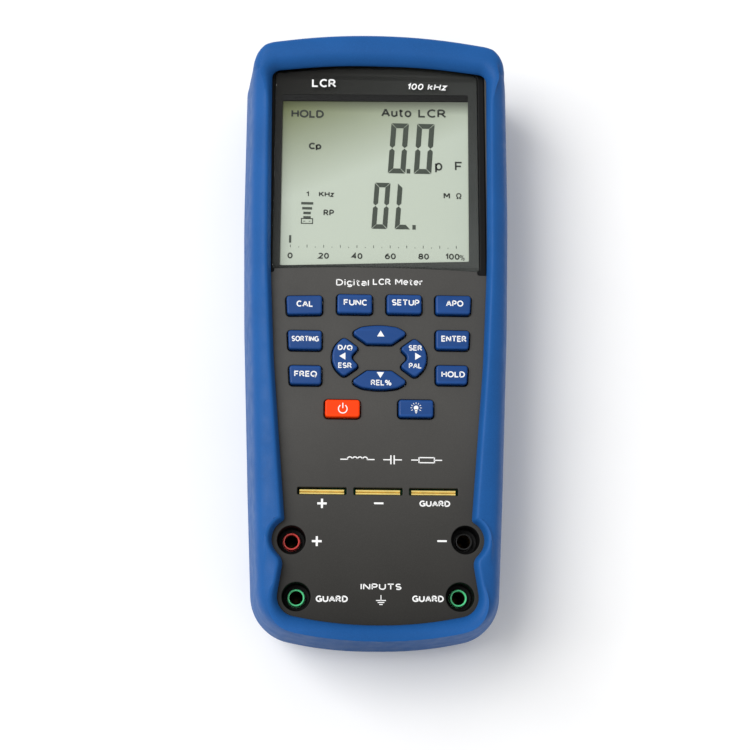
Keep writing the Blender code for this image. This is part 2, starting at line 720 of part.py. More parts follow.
def make_keypad():
    mat = plate("mat", [rectangle(-30.5, -30.6, 30.5, 12.8, 1.0)], BOARD_HIGH + GAP, KEYPAD_TOP)
    dome_low = KEYPAD_TOP - 0.2
    for name, corners in key_layout().items():
        centre = (*middle_of(corners), (dome_low + DOME_TOP) / 2)
        height = DOME_TOP - dome_low
        dome = cylinder("dome_" + name, centre, DOME_RADIUS, height, sagitta=HIDDEN_SAGITTA)
        unite(mat, dome)
    finish_part(mat, "keypad_mat", material("keypad_silicone", (0.75, 0.75, 0.72), 0.7))


def make_keys():
    blue = (0.02, 0.11, 0.36)
    colours = {"key_power": (0.82, 0.07, 0.01)}
    for name, corners in key_layout().items():
        outline = rounded(corners)
        cap = plate(name + "_cap", [outline], KEY_FLANGE_LOW, KEY_TOP)
        bevel_rims(cap, KEY_EDGE_RADIUS, 2, {KEY_TOP: 1.0})
        skirt = inset(outline, -KEY_FLANGE_REACH)
        unite(cap, plate(name + "_flange", [skirt], KEY_FLANGE_LOW, KEY_FLANGE_HIGH))
        set_origin(cap, (*middle_of(corners), KEY_TOP))
        finish_part(cap, name, material(name + "_plastic", colours.get(name, blue), 0.4))


def make_slot_contacts():
    """Each contact is one brass strip folded into a U, pinched just below the panel."""
    floor = BOARD_HIGH + GAP
    half_line = [(0.65, floor + 0.2), (0.65, 33.6), (0.3, 35.3), (0.62, 36.3)]
    centre_line = [(-y, z) for y, z in reversed(half_line)] + half_line
    folded = strip(centre_line, CONTACT_THICKNESS)
    stand_up = Matrix(((0, 0, 1, 0), (1, 0, 0, 0), (0, 1, 0, 0), (0, 0, 0, 1)))
    for name, x in SLOT_CENTRES.items():
        contact = plate("contact_" + name, [folded], -CONTACT_HALF_LENGTH, CONTACT_HALF_LENGTH)
        contact.data.transform(Matrix.Translation(((x - 0.3) * MM, SLOT_Y * MM, 0.0)) @ stand_up)
        brass = material("contact_brass_" + name, (0.75, 0.55, 0.18), 0.25, 1.0)
        finish_part(contact, "slot_contact_" + name, brass)


def make_jacks():
    """Each socket is a coloured insulating sleeve round a brass barrel with a 4 mm bore."""
    colours = {
        "plus": (0.6, 0.02, 0.01),
        "minus": (0.02, 0.02, 0.02),
        "guard_left": (0.02, 0.35, 0.08),
        "guard_right": (0.02, 0.35, 0.08),
    }
    shelf = BOARD_HIGH + GAP
    barrel_top = JACK_TOP - 1.2
    bush_radius = BARREL_RADIUS + 0.25
    lip_radius = BARREL_BORE_RADIUS + 0.15
    sleeve = [
        (JACK_BODY_RADIUS, JACK_TOP),
        (JACK_BODY_RADIUS, shelf + 1.0),
        (JACK_FLANGE_RADIUS, shelf + 1.0),
        (JACK_FLANGE_RADIUS, shelf),
        (JACK_BODY_RADIUS, shelf),
        (JACK_BODY_RADIUS, JACK_SLEEVE_LOW),
        (bush_radius, JACK_SLEEVE_LOW),
        (bush_radius, barrel_top + GAP),
        (lip_radius, barrel_top + GAP),
        (lip_radius, JACK_TOP),
    ]
    barrel = [
        (0.0, BARREL_LOW + 2.0),
        (BARREL_BORE_RADIUS, BARREL_LOW + 2.0),
        (BARREL_BORE_RADIUS, barrel_top),
        (BARREL_RADIUS, barrel_top),
        (BARREL_RADIUS, BARREL_LOW),
        (0.0, BARREL_LOW),
    ]
    for name, (x, y) in JACK_POSITIONS.items():
        tube = turned("tube", sleeve, x, y, closed=True)
        finish_part(tube, "jack_sleeve_" + name, material("jack_plastic_" + name, colours[name], 0.35))
        brass = turned("brass", barrel, x, y)
        plating = material("jack_brass_" + name, (0.72, 0.52, 0.18), 0.3, 1.0)
        finish_part(brass, "jack_barrel_" + name, plating)


def make_screw(name, place, head, shank, finish):
    """Pan-head screw that points up: head is (low, radius, height) and shank is (radius, top)."""
    head_low, head_radius, head_height = head
    shank_radius, shank_top = shank
    profile = [
        (0.0, shank_top),
        (shank_radius, shank_top - shank_radius / 2),
        (shank_radius, head_low + head_height),
        (head_radius, head_low + head_height),
        (head_radius, head_low + head_height * 0.4),
        (head_radius * 0.7, head_low),
        (0.0, head_low),
    ]
    finish_part(turned("screw", profile, *place, steps=12), name, finish)


def make_screws():
    steel = material("screw_steel", (0.55, 0.55, 0.56), 0.3, 1.0)
    kinds = [
        ("case", CASE_SCREWS, (7.2, 2.7, 1.9), (CASE_SCREW_SHANK, SCREW_TOP)),
        ("cover", COVER_SCREWS, (2.5, 2.6, 1.5), (COVER_SCREW_SHANK, 11.5)),
        ("board", BOARD_SCREWS, (24.0, 2.1, 1.5), (BOARD_SCREW_SHANK, SCREW_TOP)),
    ]
    for kind, places, head, shank in kinds:
        for name, place in places.items():
            make_screw(kind + "_screw_" + name, place, head, shank, steel)


def make_battery():
    body = box("battery", (-13.2, -62.4, 5.0), (13.2, -16.0, 22.4))
    bevel(body, 1.6, 2)
    for x, radius in ((-6.35, 2.9), (6.35, 3.5)):
        unite(body, cylinder("terminal", (x, -15.2, 13.7), radius, 2.4, "Y"))
    finish_part(body, "battery_9v", material("battery_steel", (0.12, 0.12, 0.13), 0.4, 0.6))
    snap = box("snap", (-12.6, -15.6, 7.6), (12.6, -10.6, 19.8))
    for x, radius in ((-6.35, 3.3), (6.35, 3.9)):
        cut(snap, cylinder("snap_socket", (x, -14.4, 13.7), radius, 3.2, "Y"))
    finish_part(snap, "battery_snap", material("snap_vinyl", (0.02, 0.02, 0.02), 0.6))
    path = [(1.6, -10.3, 18.4), (1.6, -4.0, 19.2), (1.8, 1.6, 20.6), (2.4, 7.0, 24.0), (2.4, 7.6, 25.5)]
    for side, name, colour in ((-1, "red", (0.55, 0.02, 0.02)), (1, "black", (0.02, 0.02, 0.02))):
        curve = bpy.data.curves.new("lead", "CURVE")
        curve.dimensions = "3D"
        curve.bevel_depth = 0.6 * MM
        curve.bevel_resolution = 1
        curve.use_fill_caps = True
        spline = curve.splines.new("POLY")
        spline.points.add(len(path) - 1)
        for point, (x, y, z) in zip(spline.points, path):
            point.co = (side * x * MM, y * MM, z * MM, 1.0)
        lead = mesh_object("lead", curve)
        lead.name = "battery_lead_" + name
        curve.materials.append(material("lead_insulation_" + name, colour, 0.5))


def make_board_components():
    ceramic = material("chip_epoxy", (0.03, 0.03, 0.03), 0.5)
    top = BOARD_LOW - GAP
    finish_part(box("chip", (-7.0, 41.0, top - 1.5), (7.0, 55.0, top)), "processor_chip", ceramic)
    finish_part(box("chip", (-28.0, -25.0, top - 1.5), (-18.0, -15.0, top)), "analog_chip", ceramic)
    crystal = plate("crystal", [rectangle(8.5, 63.8, 19.5, 68.4, 2.2)], top - 3.5, top)
    finish_part(crystal, "crystal_can", material("crystal_steel", (0.6, 0.6, 0.6), 0.25, 1.0))
    can = [(0.0, top), (6.0, top), (6.0, 17.0), (1.2, 17.0), (1.2, 18.5), (0.0, 18.5)]
    sounder = turned("sounder", can, 25.0, 40.0)
    finish_part(sounder, "buzzer", material("buzzer_plastic", (0.02, 0.02, 0.02), 0.5))


clear_scene()
PARTS = new_collection("lcr_meter")
CUTTERS = new_collection("cutters")
CUTTERS.hide_render = True

boot_outline = rounded(boot_corners())
case_outline = inset(boot_outline, CASE_INSET)
make_boot(boot_outline)
make_front_case(case_outline)
make_rear_case(case_outline)
make_battery_cover()
make_tilt_stand()
make_display()
make_board(boot_outline)
make_keypad()
make_keys()
make_slot_contacts()
make_jacks()
make_screws()
make_battery()
make_board_components()
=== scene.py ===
"""Looks of the handheld LCR meter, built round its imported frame.

Lengths here are in millimetres in the frame's axes (+Z out of the face, +Y towards the display end) until a
helper turns them into metres. Shapes are placed from the boxes of the CAD nodes. The lit display, the
printed marks and the boot's front opening are placed straight in the frame's axes.
"""

import math

import bmesh
import bpy
from mathutils import Matrix, Vector


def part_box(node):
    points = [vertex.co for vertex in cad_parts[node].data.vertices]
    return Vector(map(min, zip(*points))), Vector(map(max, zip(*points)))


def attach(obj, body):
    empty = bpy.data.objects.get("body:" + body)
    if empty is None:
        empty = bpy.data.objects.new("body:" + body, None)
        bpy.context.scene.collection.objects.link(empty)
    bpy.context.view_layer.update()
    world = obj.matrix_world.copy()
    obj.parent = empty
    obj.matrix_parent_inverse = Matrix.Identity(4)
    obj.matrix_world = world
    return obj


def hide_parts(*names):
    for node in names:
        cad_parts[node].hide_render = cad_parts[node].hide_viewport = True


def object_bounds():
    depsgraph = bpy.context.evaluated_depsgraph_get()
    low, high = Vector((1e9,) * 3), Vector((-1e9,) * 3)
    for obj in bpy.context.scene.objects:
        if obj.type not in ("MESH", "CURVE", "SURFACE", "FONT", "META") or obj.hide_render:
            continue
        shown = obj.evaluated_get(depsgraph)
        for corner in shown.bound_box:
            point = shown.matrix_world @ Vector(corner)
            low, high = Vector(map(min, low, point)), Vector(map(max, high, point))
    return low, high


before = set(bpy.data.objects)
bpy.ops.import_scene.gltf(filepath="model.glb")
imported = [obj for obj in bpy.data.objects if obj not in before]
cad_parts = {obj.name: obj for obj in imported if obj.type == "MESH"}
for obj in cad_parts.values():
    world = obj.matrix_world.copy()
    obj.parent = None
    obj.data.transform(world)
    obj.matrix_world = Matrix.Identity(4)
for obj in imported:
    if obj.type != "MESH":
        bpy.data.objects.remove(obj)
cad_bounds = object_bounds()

MM = 0.001
METER = "meter"

BOOT_BLUE = (0.010, 0.087, 0.292)
KEY_BLUE = (0.004, 0.048, 0.200)
KEY_ORANGE = (0.96, 0.048, 0.0)
PANEL_GREY = (0.049, 0.047, 0.043)
INK_WHITE = (0.92, 0.92, 0.91)


def box_mm(node):
    low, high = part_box(node)
    return low / MM, high / MM


BOOT_LOW, BOOT_HIGH = box_mm("protective_boot")
CASE_LOW, CASE_HIGH = box_mm("front_case")
LENS_LOW, LENS_HIGH = box_mm("display_lens")
GLASS_LOW, GLASS_HIGH = box_mm("lcd_glass")
LENS_X = (LENS_LOW.x + LENS_HIGH.x) / 2
LENS_HALF = (LENS_HIGH.x - LENS_LOW.x) / 2
PANEL_TOP = CASE_HIGH.z
PANEL_THICKNESS = 2.2
LCD_FACE = LENS_LOW.z - 0.4
KEY_TOP = box_mm("key_func")[1].z


# Outlines


def rounded(corners, sagitta=0.012):
    """Points of a closed outline whose corners (x, y, radius) are rounded by arcs."""
    points = []
    for i, (x, y, radius) in enumerate(corners):
        here = Vector((x, y))
        if radius == 0.0:
            points.append(here)
            continue
        back = (Vector(corners[i - 1][:2]) - here).normalized()
        ahead = (Vector(corners[(i + 1) % len(corners)][:2]) - here).normalized()
        half_angle = back.angle(ahead) / 2
        centre = here + (back + ahead).normalized() * radius / math.sin(half_angle)
        start = here + back * radius / math.tan(half_angle) - centre
        turn = math.pi - 2 * half_angle
        if back.x * ahead.y - back.y * ahead.x > 0:
            turn = -turn
        steps = max(3, math.ceil(abs(turn) / (2 * math.acos(1 - sagitta / max(radius, 0.3)))))
        for step in range(steps + 1):
            points.append(centre + Matrix.Rotation(turn * step / steps, 2) @ start)
    return points


def mirrored(right_half):
    return right_half + [(-x, y, radius) for x, y, radius in reversed(right_half)]


def inset(points, distance):
    """The outline moved inwards by a distance, or by a list of distances, one for each point."""
    moved = []
    for i, here in enumerate(points):
        before = (here - points[i - 1]).normalized()
        after = (points[(i + 1) % len(points)] - here).normalized()
        normal = Vector((-before.y, before.x)) + Vector((-after.y, after.x))
        step = distance[i] if isinstance(distance, list) else distance
        moved.append(here + normal * 2 * step / normal.length_squared)
    return moved


def rectangle(x_low, y_low, x_high, y_high, radius=0.0):
    corners = [(x_low, y_low), (x_high, y_low), (x_high, y_high), (x_low, y_high)]
    return rounded([(x, y, radius) for x, y in corners])


def circle(x, y, radius, steps=64):
    turns = [2 * math.pi * i / steps for i in range(steps)]
    return [Vector((x + radius * math.cos(t), y + radius * math.sin(t))) for t in turns]


def along(line, count):
    """Evenly spaced points of an open line, its first included and its last left out."""
    lengths = [0.0]
    for a, b in zip(line, line[1:]):
        lengths.append(lengths[-1] + (b - a).length)
    points = []
    place = 0
    for i in range(count):
        wanted = lengths[-1] * i / count
        while lengths[place + 1] < wanted:
            place += 1
        share = (wanted - lengths[place]) / max(lengths[place + 1] - lengths[place], 1e-9)
        points.append(line[place].lerp(line[place + 1], share))
    return points


def between_anchors(outline, anchors, counts):
    """The outline's points from anchor to anchor, each stretch with its own even count."""
    starts = [min(range(len(outline)), key=lambda i: (outline[i] - Vector(a)).length) for a in anchors]
    points = []
    for i, count in enumerate(counts):
        first = starts[i]
        last = starts[(i + 1) % len(starts)]
        span = (last - first) % len(outline)
        line = [outline[(first + step) % len(outline)] for step in range(span + 1)]
        points += along(line, count)
    return points


# Meshes


def place_object(name, data):
    obj = bpy.data.objects.new(name, data)
    bpy.context.scene.collection.objects.link(obj)
    return obj


def smooth(obj, angle=32.0):
    obj.data.shade_smooth()
    obj.data.set_sharp_from_angle(angle=math.radians(angle))


def piece(obj, body, finish, stands_for=()):
    """Gives a new piece its material, its body and the CAD nodes it stands for."""
    obj.data.materials.clear()
    obj.data.materials.append(finish)
    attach(obj, body)
    if stands_for:
        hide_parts(*stands_for)
    return obj


def slab(name, outlines, low, high, edge=0.2, segments=3):
    """Plate of filled outlines with every rim rounded; an outline in another is a hole."""
    curve = bpy.data.curves.new(name, "CURVE")
    curve.dimensions = "2D"
    curve.fill_mode = "BOTH"
    curve.extrude = max((high - low) / 2 - edge, 0.0) * MM
    curve.bevel_depth = edge * MM
    curve.bevel_resolution = segments
    curve.offset = -edge * MM
    for outline in outlines:
        spline = curve.splines.new("POLY")
        spline.points.add(len(outline) - 1)
        for point, (x, y) in zip(spline.points, outline):
            point.co = (x * MM, y * MM, 0.0, 1.0)
        spline.use_cyclic_u = True
    source = place_object(name, curve)
    graph = bpy.context.evaluated_depsgraph_get()
    mesh = bpy.data.meshes.new_from_object(source.evaluated_get(graph))
    bpy.data.objects.remove(source)
    mesh.transform(Matrix.Translation((0.0, 0.0, (low + high) / 2 * MM)))
    work = bmesh.new()
    work.from_mesh(mesh)
    bmesh.ops.remove_doubles(work, verts=work.verts, dist=1e-7)
    bmesh.ops.recalc_face_normals(work, faces=work.faces)
    if work.calc_volume(signed=True) < 0:
        bmesh.ops.reverse_faces(work, faces=work.faces)
    work.to_mesh(mesh)
    work.free()
    obj = place_object(name, mesh)
    smooth(obj)
    for face in mesh.polygons:
        face.use_smooth = abs(face.normal.z) < 0.999
    return obj


def loft(name, rings):
    """Closed skin over rings of equal count, where the last ring joins the first."""
    mesh = bpy.data.meshes.new(name)
    count = len(rings[0])
    vertices = [(x * MM, y * MM, z * MM) for ring in rings for x, y, z in ring]
    faces = []
    for r in range(len(rings)):
        here = r * count
        there = (r + 1) % len(rings) * count
        for i in range(count):
            j = (i + 1) % count
            faces.append((here + i, there + i, there + j, here + j))
    mesh.from_pydata(vertices, [], faces)
    work = bmesh.new()
    work.from_mesh(mesh)
    bmesh.ops.recalc_face_normals(work, faces=work.faces)
    work.to_mesh(mesh)
    work.free()
    obj = place_object(name, mesh)
    smooth(obj, 50.0)
    return obj


def turned(name, profile, x, y, steps=72):
    """Body turned about a vertical axis at (x, y) from a closed loop of (radius, z) points."""
    rings = []
    for radius, z in profile:
        rings.append([(*point, z) for point in circle(x, y, radius, steps)])
    return loft(name, rings)


def printed(name, shapes, height, thickness=0.03):
    """Thin printed shapes, each its own closed outline, so that they may overlap one another."""
    work = bmesh.new()
    for shape in shapes:
        corners = [work.verts.new((x * MM, y * MM, height * MM)) for x, y in shape]
        work.faces.new(corners)
    raised = bmesh.ops.extrude_face_region(work, geom=work.faces[:], use_keep_orig=True)
    tops = [item for item in raised["geom"] if isinstance(item, bmesh.types.BMVert)]
    bmesh.ops.translate(work, verts=tops, vec=(0.0, 0.0, thickness * MM))
    bmesh.ops.recalc_face_normals(work, faces=work.faces)
    mesh = bpy.data.meshes.new(name)
    work.to_mesh(mesh)
    work.free()
    return place_object(name, mesh)


def band(line, width):
    """Closed outline of a band of even width about an open line of points."""
    left = []
    right = []
    for i, here in enumerate(line):
        before = (here - line[i - 1]).normalized() if i > 0 else (line[1] - here).normalized()
        after = (line[i + 1] - here).normalized() if i + 1 < len(line) else before
        normal = Vector((-before.y, before.x)) + Vector((-after.y, after.x))
        step = normal * width / max(normal.length_squared, 0.5)
        left.append(here + step)
        right.append(here - step)
    return left + right[::-1]


# Plain bold letters, drawn as strokes one unit high


def bow(x, y, across, up, start, end, steps=14):
    """Part of an ellipse about (x, y), between two angles in degrees."""
    turns = [math.radians(start + (end - start) * i / steps) for i in range(steps + 1)]
    return [(x + across * math.cos(t), y + up * math.sin(t)) for t in turns]


def oval(x, y, across, up):
    return [bow(x, y, across, up, 0, 180), bow(x, y, across, up, 180, 360)]


STEM = [(0.0, 0.0), (0.0, 1.0)]
LETTERS = {
    "A": [[(0.0, 0.0), (0.38, 0.98)], [(0.78, 0.0), (0.4, 0.98)], [(0.15, 0.32), (0.63, 0.32)]],
    "C": [bow(0.4, 0.5, 0.4, 0.5, 48, 312)],
    "D": [STEM, [(0.0, 1.0), (0.26, 1.0), *bow(0.26, 0.5, 0.46, 0.5, 88, -88), (0.0, 0.0)]],
    "E": [[(0.56, 1.0), (0.0, 1.0), (0.0, 0.0), (0.56, 0.0)], [(0.0, 0.52), (0.5, 0.52)]],
    "F": [[(0.56, 1.0), (0.0, 1.0), (0.0, 0.0)], [(0.0, 0.5), (0.48, 0.5)]],
    "G": [[*bow(0.42, 0.5, 0.42, 0.5, 50, 296), (0.78, 0.12), (0.78, 0.46), (0.46, 0.46)]],
    "H": [STEM, [(0.7, 0.0), (0.7, 1.0)], [(0.0, 0.52), (0.7, 0.52)]],
    "I": [STEM],
    "K": [STEM, [(0.68, 1.0), (0.04, 0.42)], [(0.24, 0.6), (0.72, 0.0)]],
    "L": [[(0.0, 1.0), (0.0, 0.0), (0.54, 0.0)]],
    "M": [STEM, [(0.9, 0.0), (0.9, 1.0)], [(0.06, 0.98), (0.45, 0.3)], [(0.84, 0.98), (0.45, 0.3)]],
    "N": [STEM, [(0.74, 0.0), (0.74, 1.0)], [(0.04, 0.98), (0.7, 0.02)]],
    "O": oval(0.44, 0.5, 0.44, 0.5),
    "P": [STEM, [(0.0, 1.0), (0.3, 1.0), *bow(0.3, 0.71, 0.29, 0.29, 88, -88), (0.0, 0.42)]],
    "Q": [*oval(0.44, 0.5, 0.44, 0.5), [(0.44, 0.22), (0.8, -0.14)]],
    "R": [
        STEM,
        [(0.0, 1.0), (0.3, 1.0), *bow(0.3, 0.73, 0.27, 0.27, 88, -88), (0.0, 0.46)],
        [(0.3, 0.46), (0.68, 0.0)],
    ],
    "S": [[*bow(0.31, 0.74, 0.28, 0.26, 38, 255), *bow(0.3, 0.25, 0.3, 0.25, 75, -142)]],
    "T": [[(0.0, 1.0), (0.72, 1.0)], [(0.36, 0.0), (0.36, 1.0)]],
    "U": [[(0.0, 1.0), (0.0, 0.36), *bow(0.35, 0.36, 0.35, 0.36, 182, 358), (0.7, 0.36), (0.7, 1.0)]],
    "Ω": [[(0.0, 0.0), (0.24, 0.0), *bow(0.4, 0.58, 0.38, 0.42, 242, -62), (0.56, 0.0), (0.8, 0.0)]],
    "a": [
        [*bow(0.25, 0.5, 0.25, 0.24, 150, 5), (0.5, 0.0)],
        [(0.5, 0.42), (0.24, 0.42), *bow(0.22, 0.21, 0.22, 0.21, 90, 270), (0.34, 0.02), (0.5, 0.16)],
    ],
    "e": [[(0.04, 0.38), (0.55, 0.38), *bow(0.29, 0.37, 0.28, 0.37, 8, 310)]],
    "g": [
        *oval(0.26, 0.38, 0.26, 0.36),
        [(0.52, 0.74), (0.52, -0.04), *bow(0.26, -0.04, 0.26, 0.22, -5, -150)],
    ],
    "i": [[(0.0, 0.0), (0.0, 0.74)], [(0.0, 0.9), (0.0, 1.06)]],
    "k": [STEM, [(0.46, 0.74), (0.04, 0.3)], [(0.18, 0.44), (0.5, 0.0)]],
    "l": [STEM],
    "o": oval(0.28, 0.37, 0.28, 0.37),
    "p": [[(0.0, -0.28), (0.0, 0.74)], *oval(0.27, 0.37, 0.27, 0.37)],
    "r": [[(0.0, 0.0), (0.0, 0.74)], [(0.0, 0.4), *bow(0.3, 0.4, 0.26, 0.34, 165, 78)]],
    "t": [[(0.14, 0.96), (0.14, 0.2), *bow(0.32, 0.2, 0.18, 0.2, 185, 285)], [(0.0, 0.74), (0.36, 0.74)]],
    "u": [[(0.0, 0.74), (0.0, 0.26), *bow(0.24, 0.26, 0.24, 0.26, 182, 340)], [(0.5, 0.74), (0.5, 0.0)]],
    "z": [[(0.0, 0.74), (0.46, 0.74), (0.02, 0.0), (0.48, 0.0)]],
    "0": oval(0.27, 0.5, 0.27, 0.5),
    "1": [[(0.0, 0.74), (0.22, 1.0), (0.22, 0.0)]],
    "2": [[*bow(0.27, 0.73, 0.26, 0.27, 155, -32), (0.0, 0.0), (0.56, 0.0)]],
    "4": [[(0.42, 0.0), (0.42, 1.0), (0.0, 0.3), (0.58, 0.3)]],
    "6": [*oval(0.28, 0.31, 0.27, 0.31), bow(0.5, 0.32, 0.49, 0.67, 98, 180)],
    "8": [*oval(0.28, 0.75, 0.23, 0.25), *oval(0.28, 0.26, 0.28, 0.26)],
    "/": [[(0.0, -0.05), (0.4, 1.05)]],
    "%": [*oval(0.18, 0.77, 0.17, 0.23), *oval(0.86, 0.23, 0.17, 0.23), [(0.28, 0.0), (0.76, 1.0)]],
}
LETTER_GAP = 0.3
WORD_GAP = 0.75


def lettering(name, words, centre, size, height, weight=0.36, slant=0.0):
    """Printed words that fill a given width and height, in strokes of a given weight."""
    strokes = []
    pen = 0.0
    for letter in words:
        if letter == " ":
            pen += WORD_GAP - LETTER_GAP
            continue
        drawn = LETTERS[letter]
        low = min(x for stroke in drawn for x, y in stroke)
        high = max(x for stroke in drawn for x, y in stroke)
        strokes += [[Vector((pen + x - low, y)) for x, y in stroke] for stroke in drawn]
        pen += high - low + LETTER_GAP
    xs = [point.x for stroke in strokes for point in stroke]
    ys = [point.y for stroke in strokes for point in stroke]
    width = max(xs) - min(xs)
    across = (size[0] - weight) / width if width > 0.0 else 1.0
    up = (size[1] - weight) / (max(ys) - min(ys))
    middle_x = (max(xs) + min(xs)) / 2
    middle_y = (max(ys) + min(ys)) / 2
    shapes = []
    for stroke in strokes:
        line = []
        for point in stroke:
            y = (point.y - middle_y) * up
            line.append(Vector((centre[0] + (point.x - middle_x) * across + y * slant, centre[1] + y)))
        shapes.append(band(line, weight))
    return printed(name, shapes, height)


# Materials


class Surface:
    """A Principled material whose inputs are driven by a few named procedural layers."""

    def __init__(self, name):
        self.material = bpy.data.materials.new(name)
        self.material.use_nodes = True
        self.tree = self.material.node_tree
        self.shader = self.tree.nodes["Principled BSDF"]
        self.place = self.tree.nodes.new("ShaderNodeTexCoord").outputs["Object"]

    def node(self, kind, **values):
        made = self.tree.nodes.new(kind)
        for key, value in values.items():
            setattr(made, key, value)
        return made

    def join(self, source, target):
        self.tree.links.new(source, target)

    def feed(self, value, target):
        """Drives an input by a layer's output, or sets it to a plain value or colour."""
        if hasattr(value, "links"):
            self.join(value, target)
        else:
            target.default_value = (*value, 1.0) if isinstance(value, tuple) else value

    def stretched(self, scale):
        mapping = self.node("ShaderNodeMapping")
        mapping.inputs["Scale"].default_value = scale
        self.join(self.place, mapping.inputs["Vector"])
        return mapping.outputs["Vector"]

    def noise(self, size_mm, detail=3.0, scale=(1.0, 1.0, 1.0)):
        """Noise whose features are about size_mm wide."""
        made = self.node("ShaderNodeTexNoise")
        made.inputs["Scale"].default_value = 1.0 / (size_mm * MM)
        made.inputs["Detail"].default_value = detail
        self.join(self.stretched(scale), made.inputs["Vector"])
        return made.outputs["Fac"]

    def cells(self, size_mm):
        made = self.node("ShaderNodeTexVoronoi")
        made.inputs["Scale"].default_value = 1.0 / (size_mm * MM)
        self.join(self.place, made.inputs["Vector"])
        return made.outputs["Distance"]

    def span(self, source, low, high, source_low=0.3, source_high=0.7):
        """Maps a layer to a range of values."""
        made = self.node("ShaderNodeMapRange")
        made.inputs["From Min"].default_value = source_low
        made.inputs["From Max"].default_value = source_high
        made.inputs["To Min"].default_value = low
        made.inputs["To Max"].default_value = high
        self.join(source, made.inputs["Value"])
        return made.outputs["Result"]

    def blend(self, share, first, second):
        """Mixes two colours, or the output of a layer with a colour, by a share."""
        made = self.node("ShaderNodeMix", data_type="RGBA")
        self.feed(share, made.inputs["Factor"])
        self.feed(first, made.inputs[6])
        self.feed(second, made.inputs[7])
        return made.outputs[2]

    def multiply(self, first, second):
        made = self.node("ShaderNodeMath", operation="MULTIPLY")
        self.feed(first, made.inputs[0])
        self.feed(second, made.inputs[1])
        return made.outputs["Value"]

    def gradient(self, start, end):
        """0 at the start point, 1 at the end point, both (x, y) in millimetres."""
        start = Vector(start)
        run = Vector(end) - start
        step = run / run.length_squared
        split = self.node("ShaderNodeSeparateXYZ")
        self.join(self.place, split.inputs["Vector"])
        across = self.multiply(split.outputs["X"], step.x / MM)
        up = self.multiply(split.outputs["Y"], step.y / MM)
        total = self.node("ShaderNodeMath", operation="ADD")
        self.join(across, total.inputs[0])
        self.join(up, total.inputs[1])
        shifted = self.node("ShaderNodeMath", operation="SUBTRACT", use_clamp=True)
        self.join(total.outputs["Value"], shifted.inputs[0])
        shifted.inputs[1].default_value = start.dot(step)
        return shifted.outputs["Value"]

    def bump(self, source, depth_mm, strength=1.0):
        made = self.node("ShaderNodeBump")
        made.inputs["Strength"].default_value = strength
        made.inputs["Distance"].default_value = depth_mm * MM
        self.join(source, made.inputs["Height"])
        self.join(made.outputs["Normal"], self.shader.inputs["Normal"])

    def set(self, **values):
        """Sets shader inputs by name, where an underscore stands for a space."""
        for key, value in values.items():
            self.feed(value, self.shader.inputs[key.replace("_", " ")])
        return self.material


def tinted(colour, factor):
    return tuple(min(1.0, channel * factor) for channel in colour)


def moulded(
    name,
    colour,
    roughness=0.5,
    grain_mm=0.35,
    depth_mm=0.02,
    mottle=0.12,
    edge_highlight=0.25,
    shine=0.5,
    painted_shade_span=None,
    painted_shade_depth=0.44,
):
    """Moulded plastic or rubber: spark-eroded grain, faint mottling and paler edges, which are a painted
    edge highlight.

    Where two points are given for it, a painted shade deepens the tone from the first to the second by the
    given share.
    """
    made = Surface(name)
    grain = made.noise(grain_mm, 4.0)
    cloud = made.noise(18.0, 4.0)
    base = made.blend(made.span(cloud, 0.0, 1.0), tinted(colour, 1 - mottle), tinted(colour, 1 + mottle))
    speck = made.blend(made.span(grain, 0.0, 0.35, 0.45, 0.75), base, tinted(colour, 1.5))
    # Paler edges found by pointiness: a painted highlight where edges catch the light.
    edge = made.span(made.node("ShaderNodeNewGeometry").outputs["Pointiness"], 0.0, edge_highlight, 0.51, 0.6)
    made.bump(grain, depth_mm)
    painted_light_tone = made.blend(edge, speck, tinted(colour, 1.9))
    # Painted shade: the tone darkens between the two points, and the specular level eases off with it.
    if painted_shade_span:
        painted_shade_share = made.gradient(*painted_shade_span)
        painted_light_tone = made.blend(made.multiply(painted_shade_share, painted_shade_depth), painted_light_tone, (0.0, 0.0, 0.0))
        shine = made.span(painted_shade_share, shine, 0.05, 0.0, 1.0)
    return made.set(
        Base_Color=painted_light_tone,
        Roughness=made.span(made.noise(4.0, 5.0), roughness - 0.07, roughness + 0.07),
        Specular_IOR_Level=shine,
    )


def metal(name, colour, roughness=0.28, metallic=1.0, brush=(1.0, 14.0, 14.0), streak_mm=2.5):
    """Drawn or plated metal: fine streaks along X, with stains of a darker tone."""
    made = Surface(name)
    streaks = made.noise(streak_mm, 5.0, brush)
    stain = made.noise(3.0, 4.0)
    base = made.blend(made.span(stain, 0.0, 0.6), colour, tinted(colour, 0.72))
    made.bump(streaks, 0.006)
    return made.set(
        Base_Color=base,
        Metallic=metallic,
        Roughness=made.span(streaks, roughness - 0.1, roughness + 0.12),
    )


def ink(name, colour=INK_WHITE):
    """Pad-printed ink, slightly uneven where it takes the grain under it."""
    made = Surface(name)
    spots = made.noise(0.25, 3.0)
    base = made.blend(made.span(spots, 0.0, 0.25, 0.5, 0.8), colour, tinted(colour, 0.75))
    made.bump(spots, 0.004)
    return made.set(Base_Color=base, Roughness=made.span(spots, 0.4, 0.6))


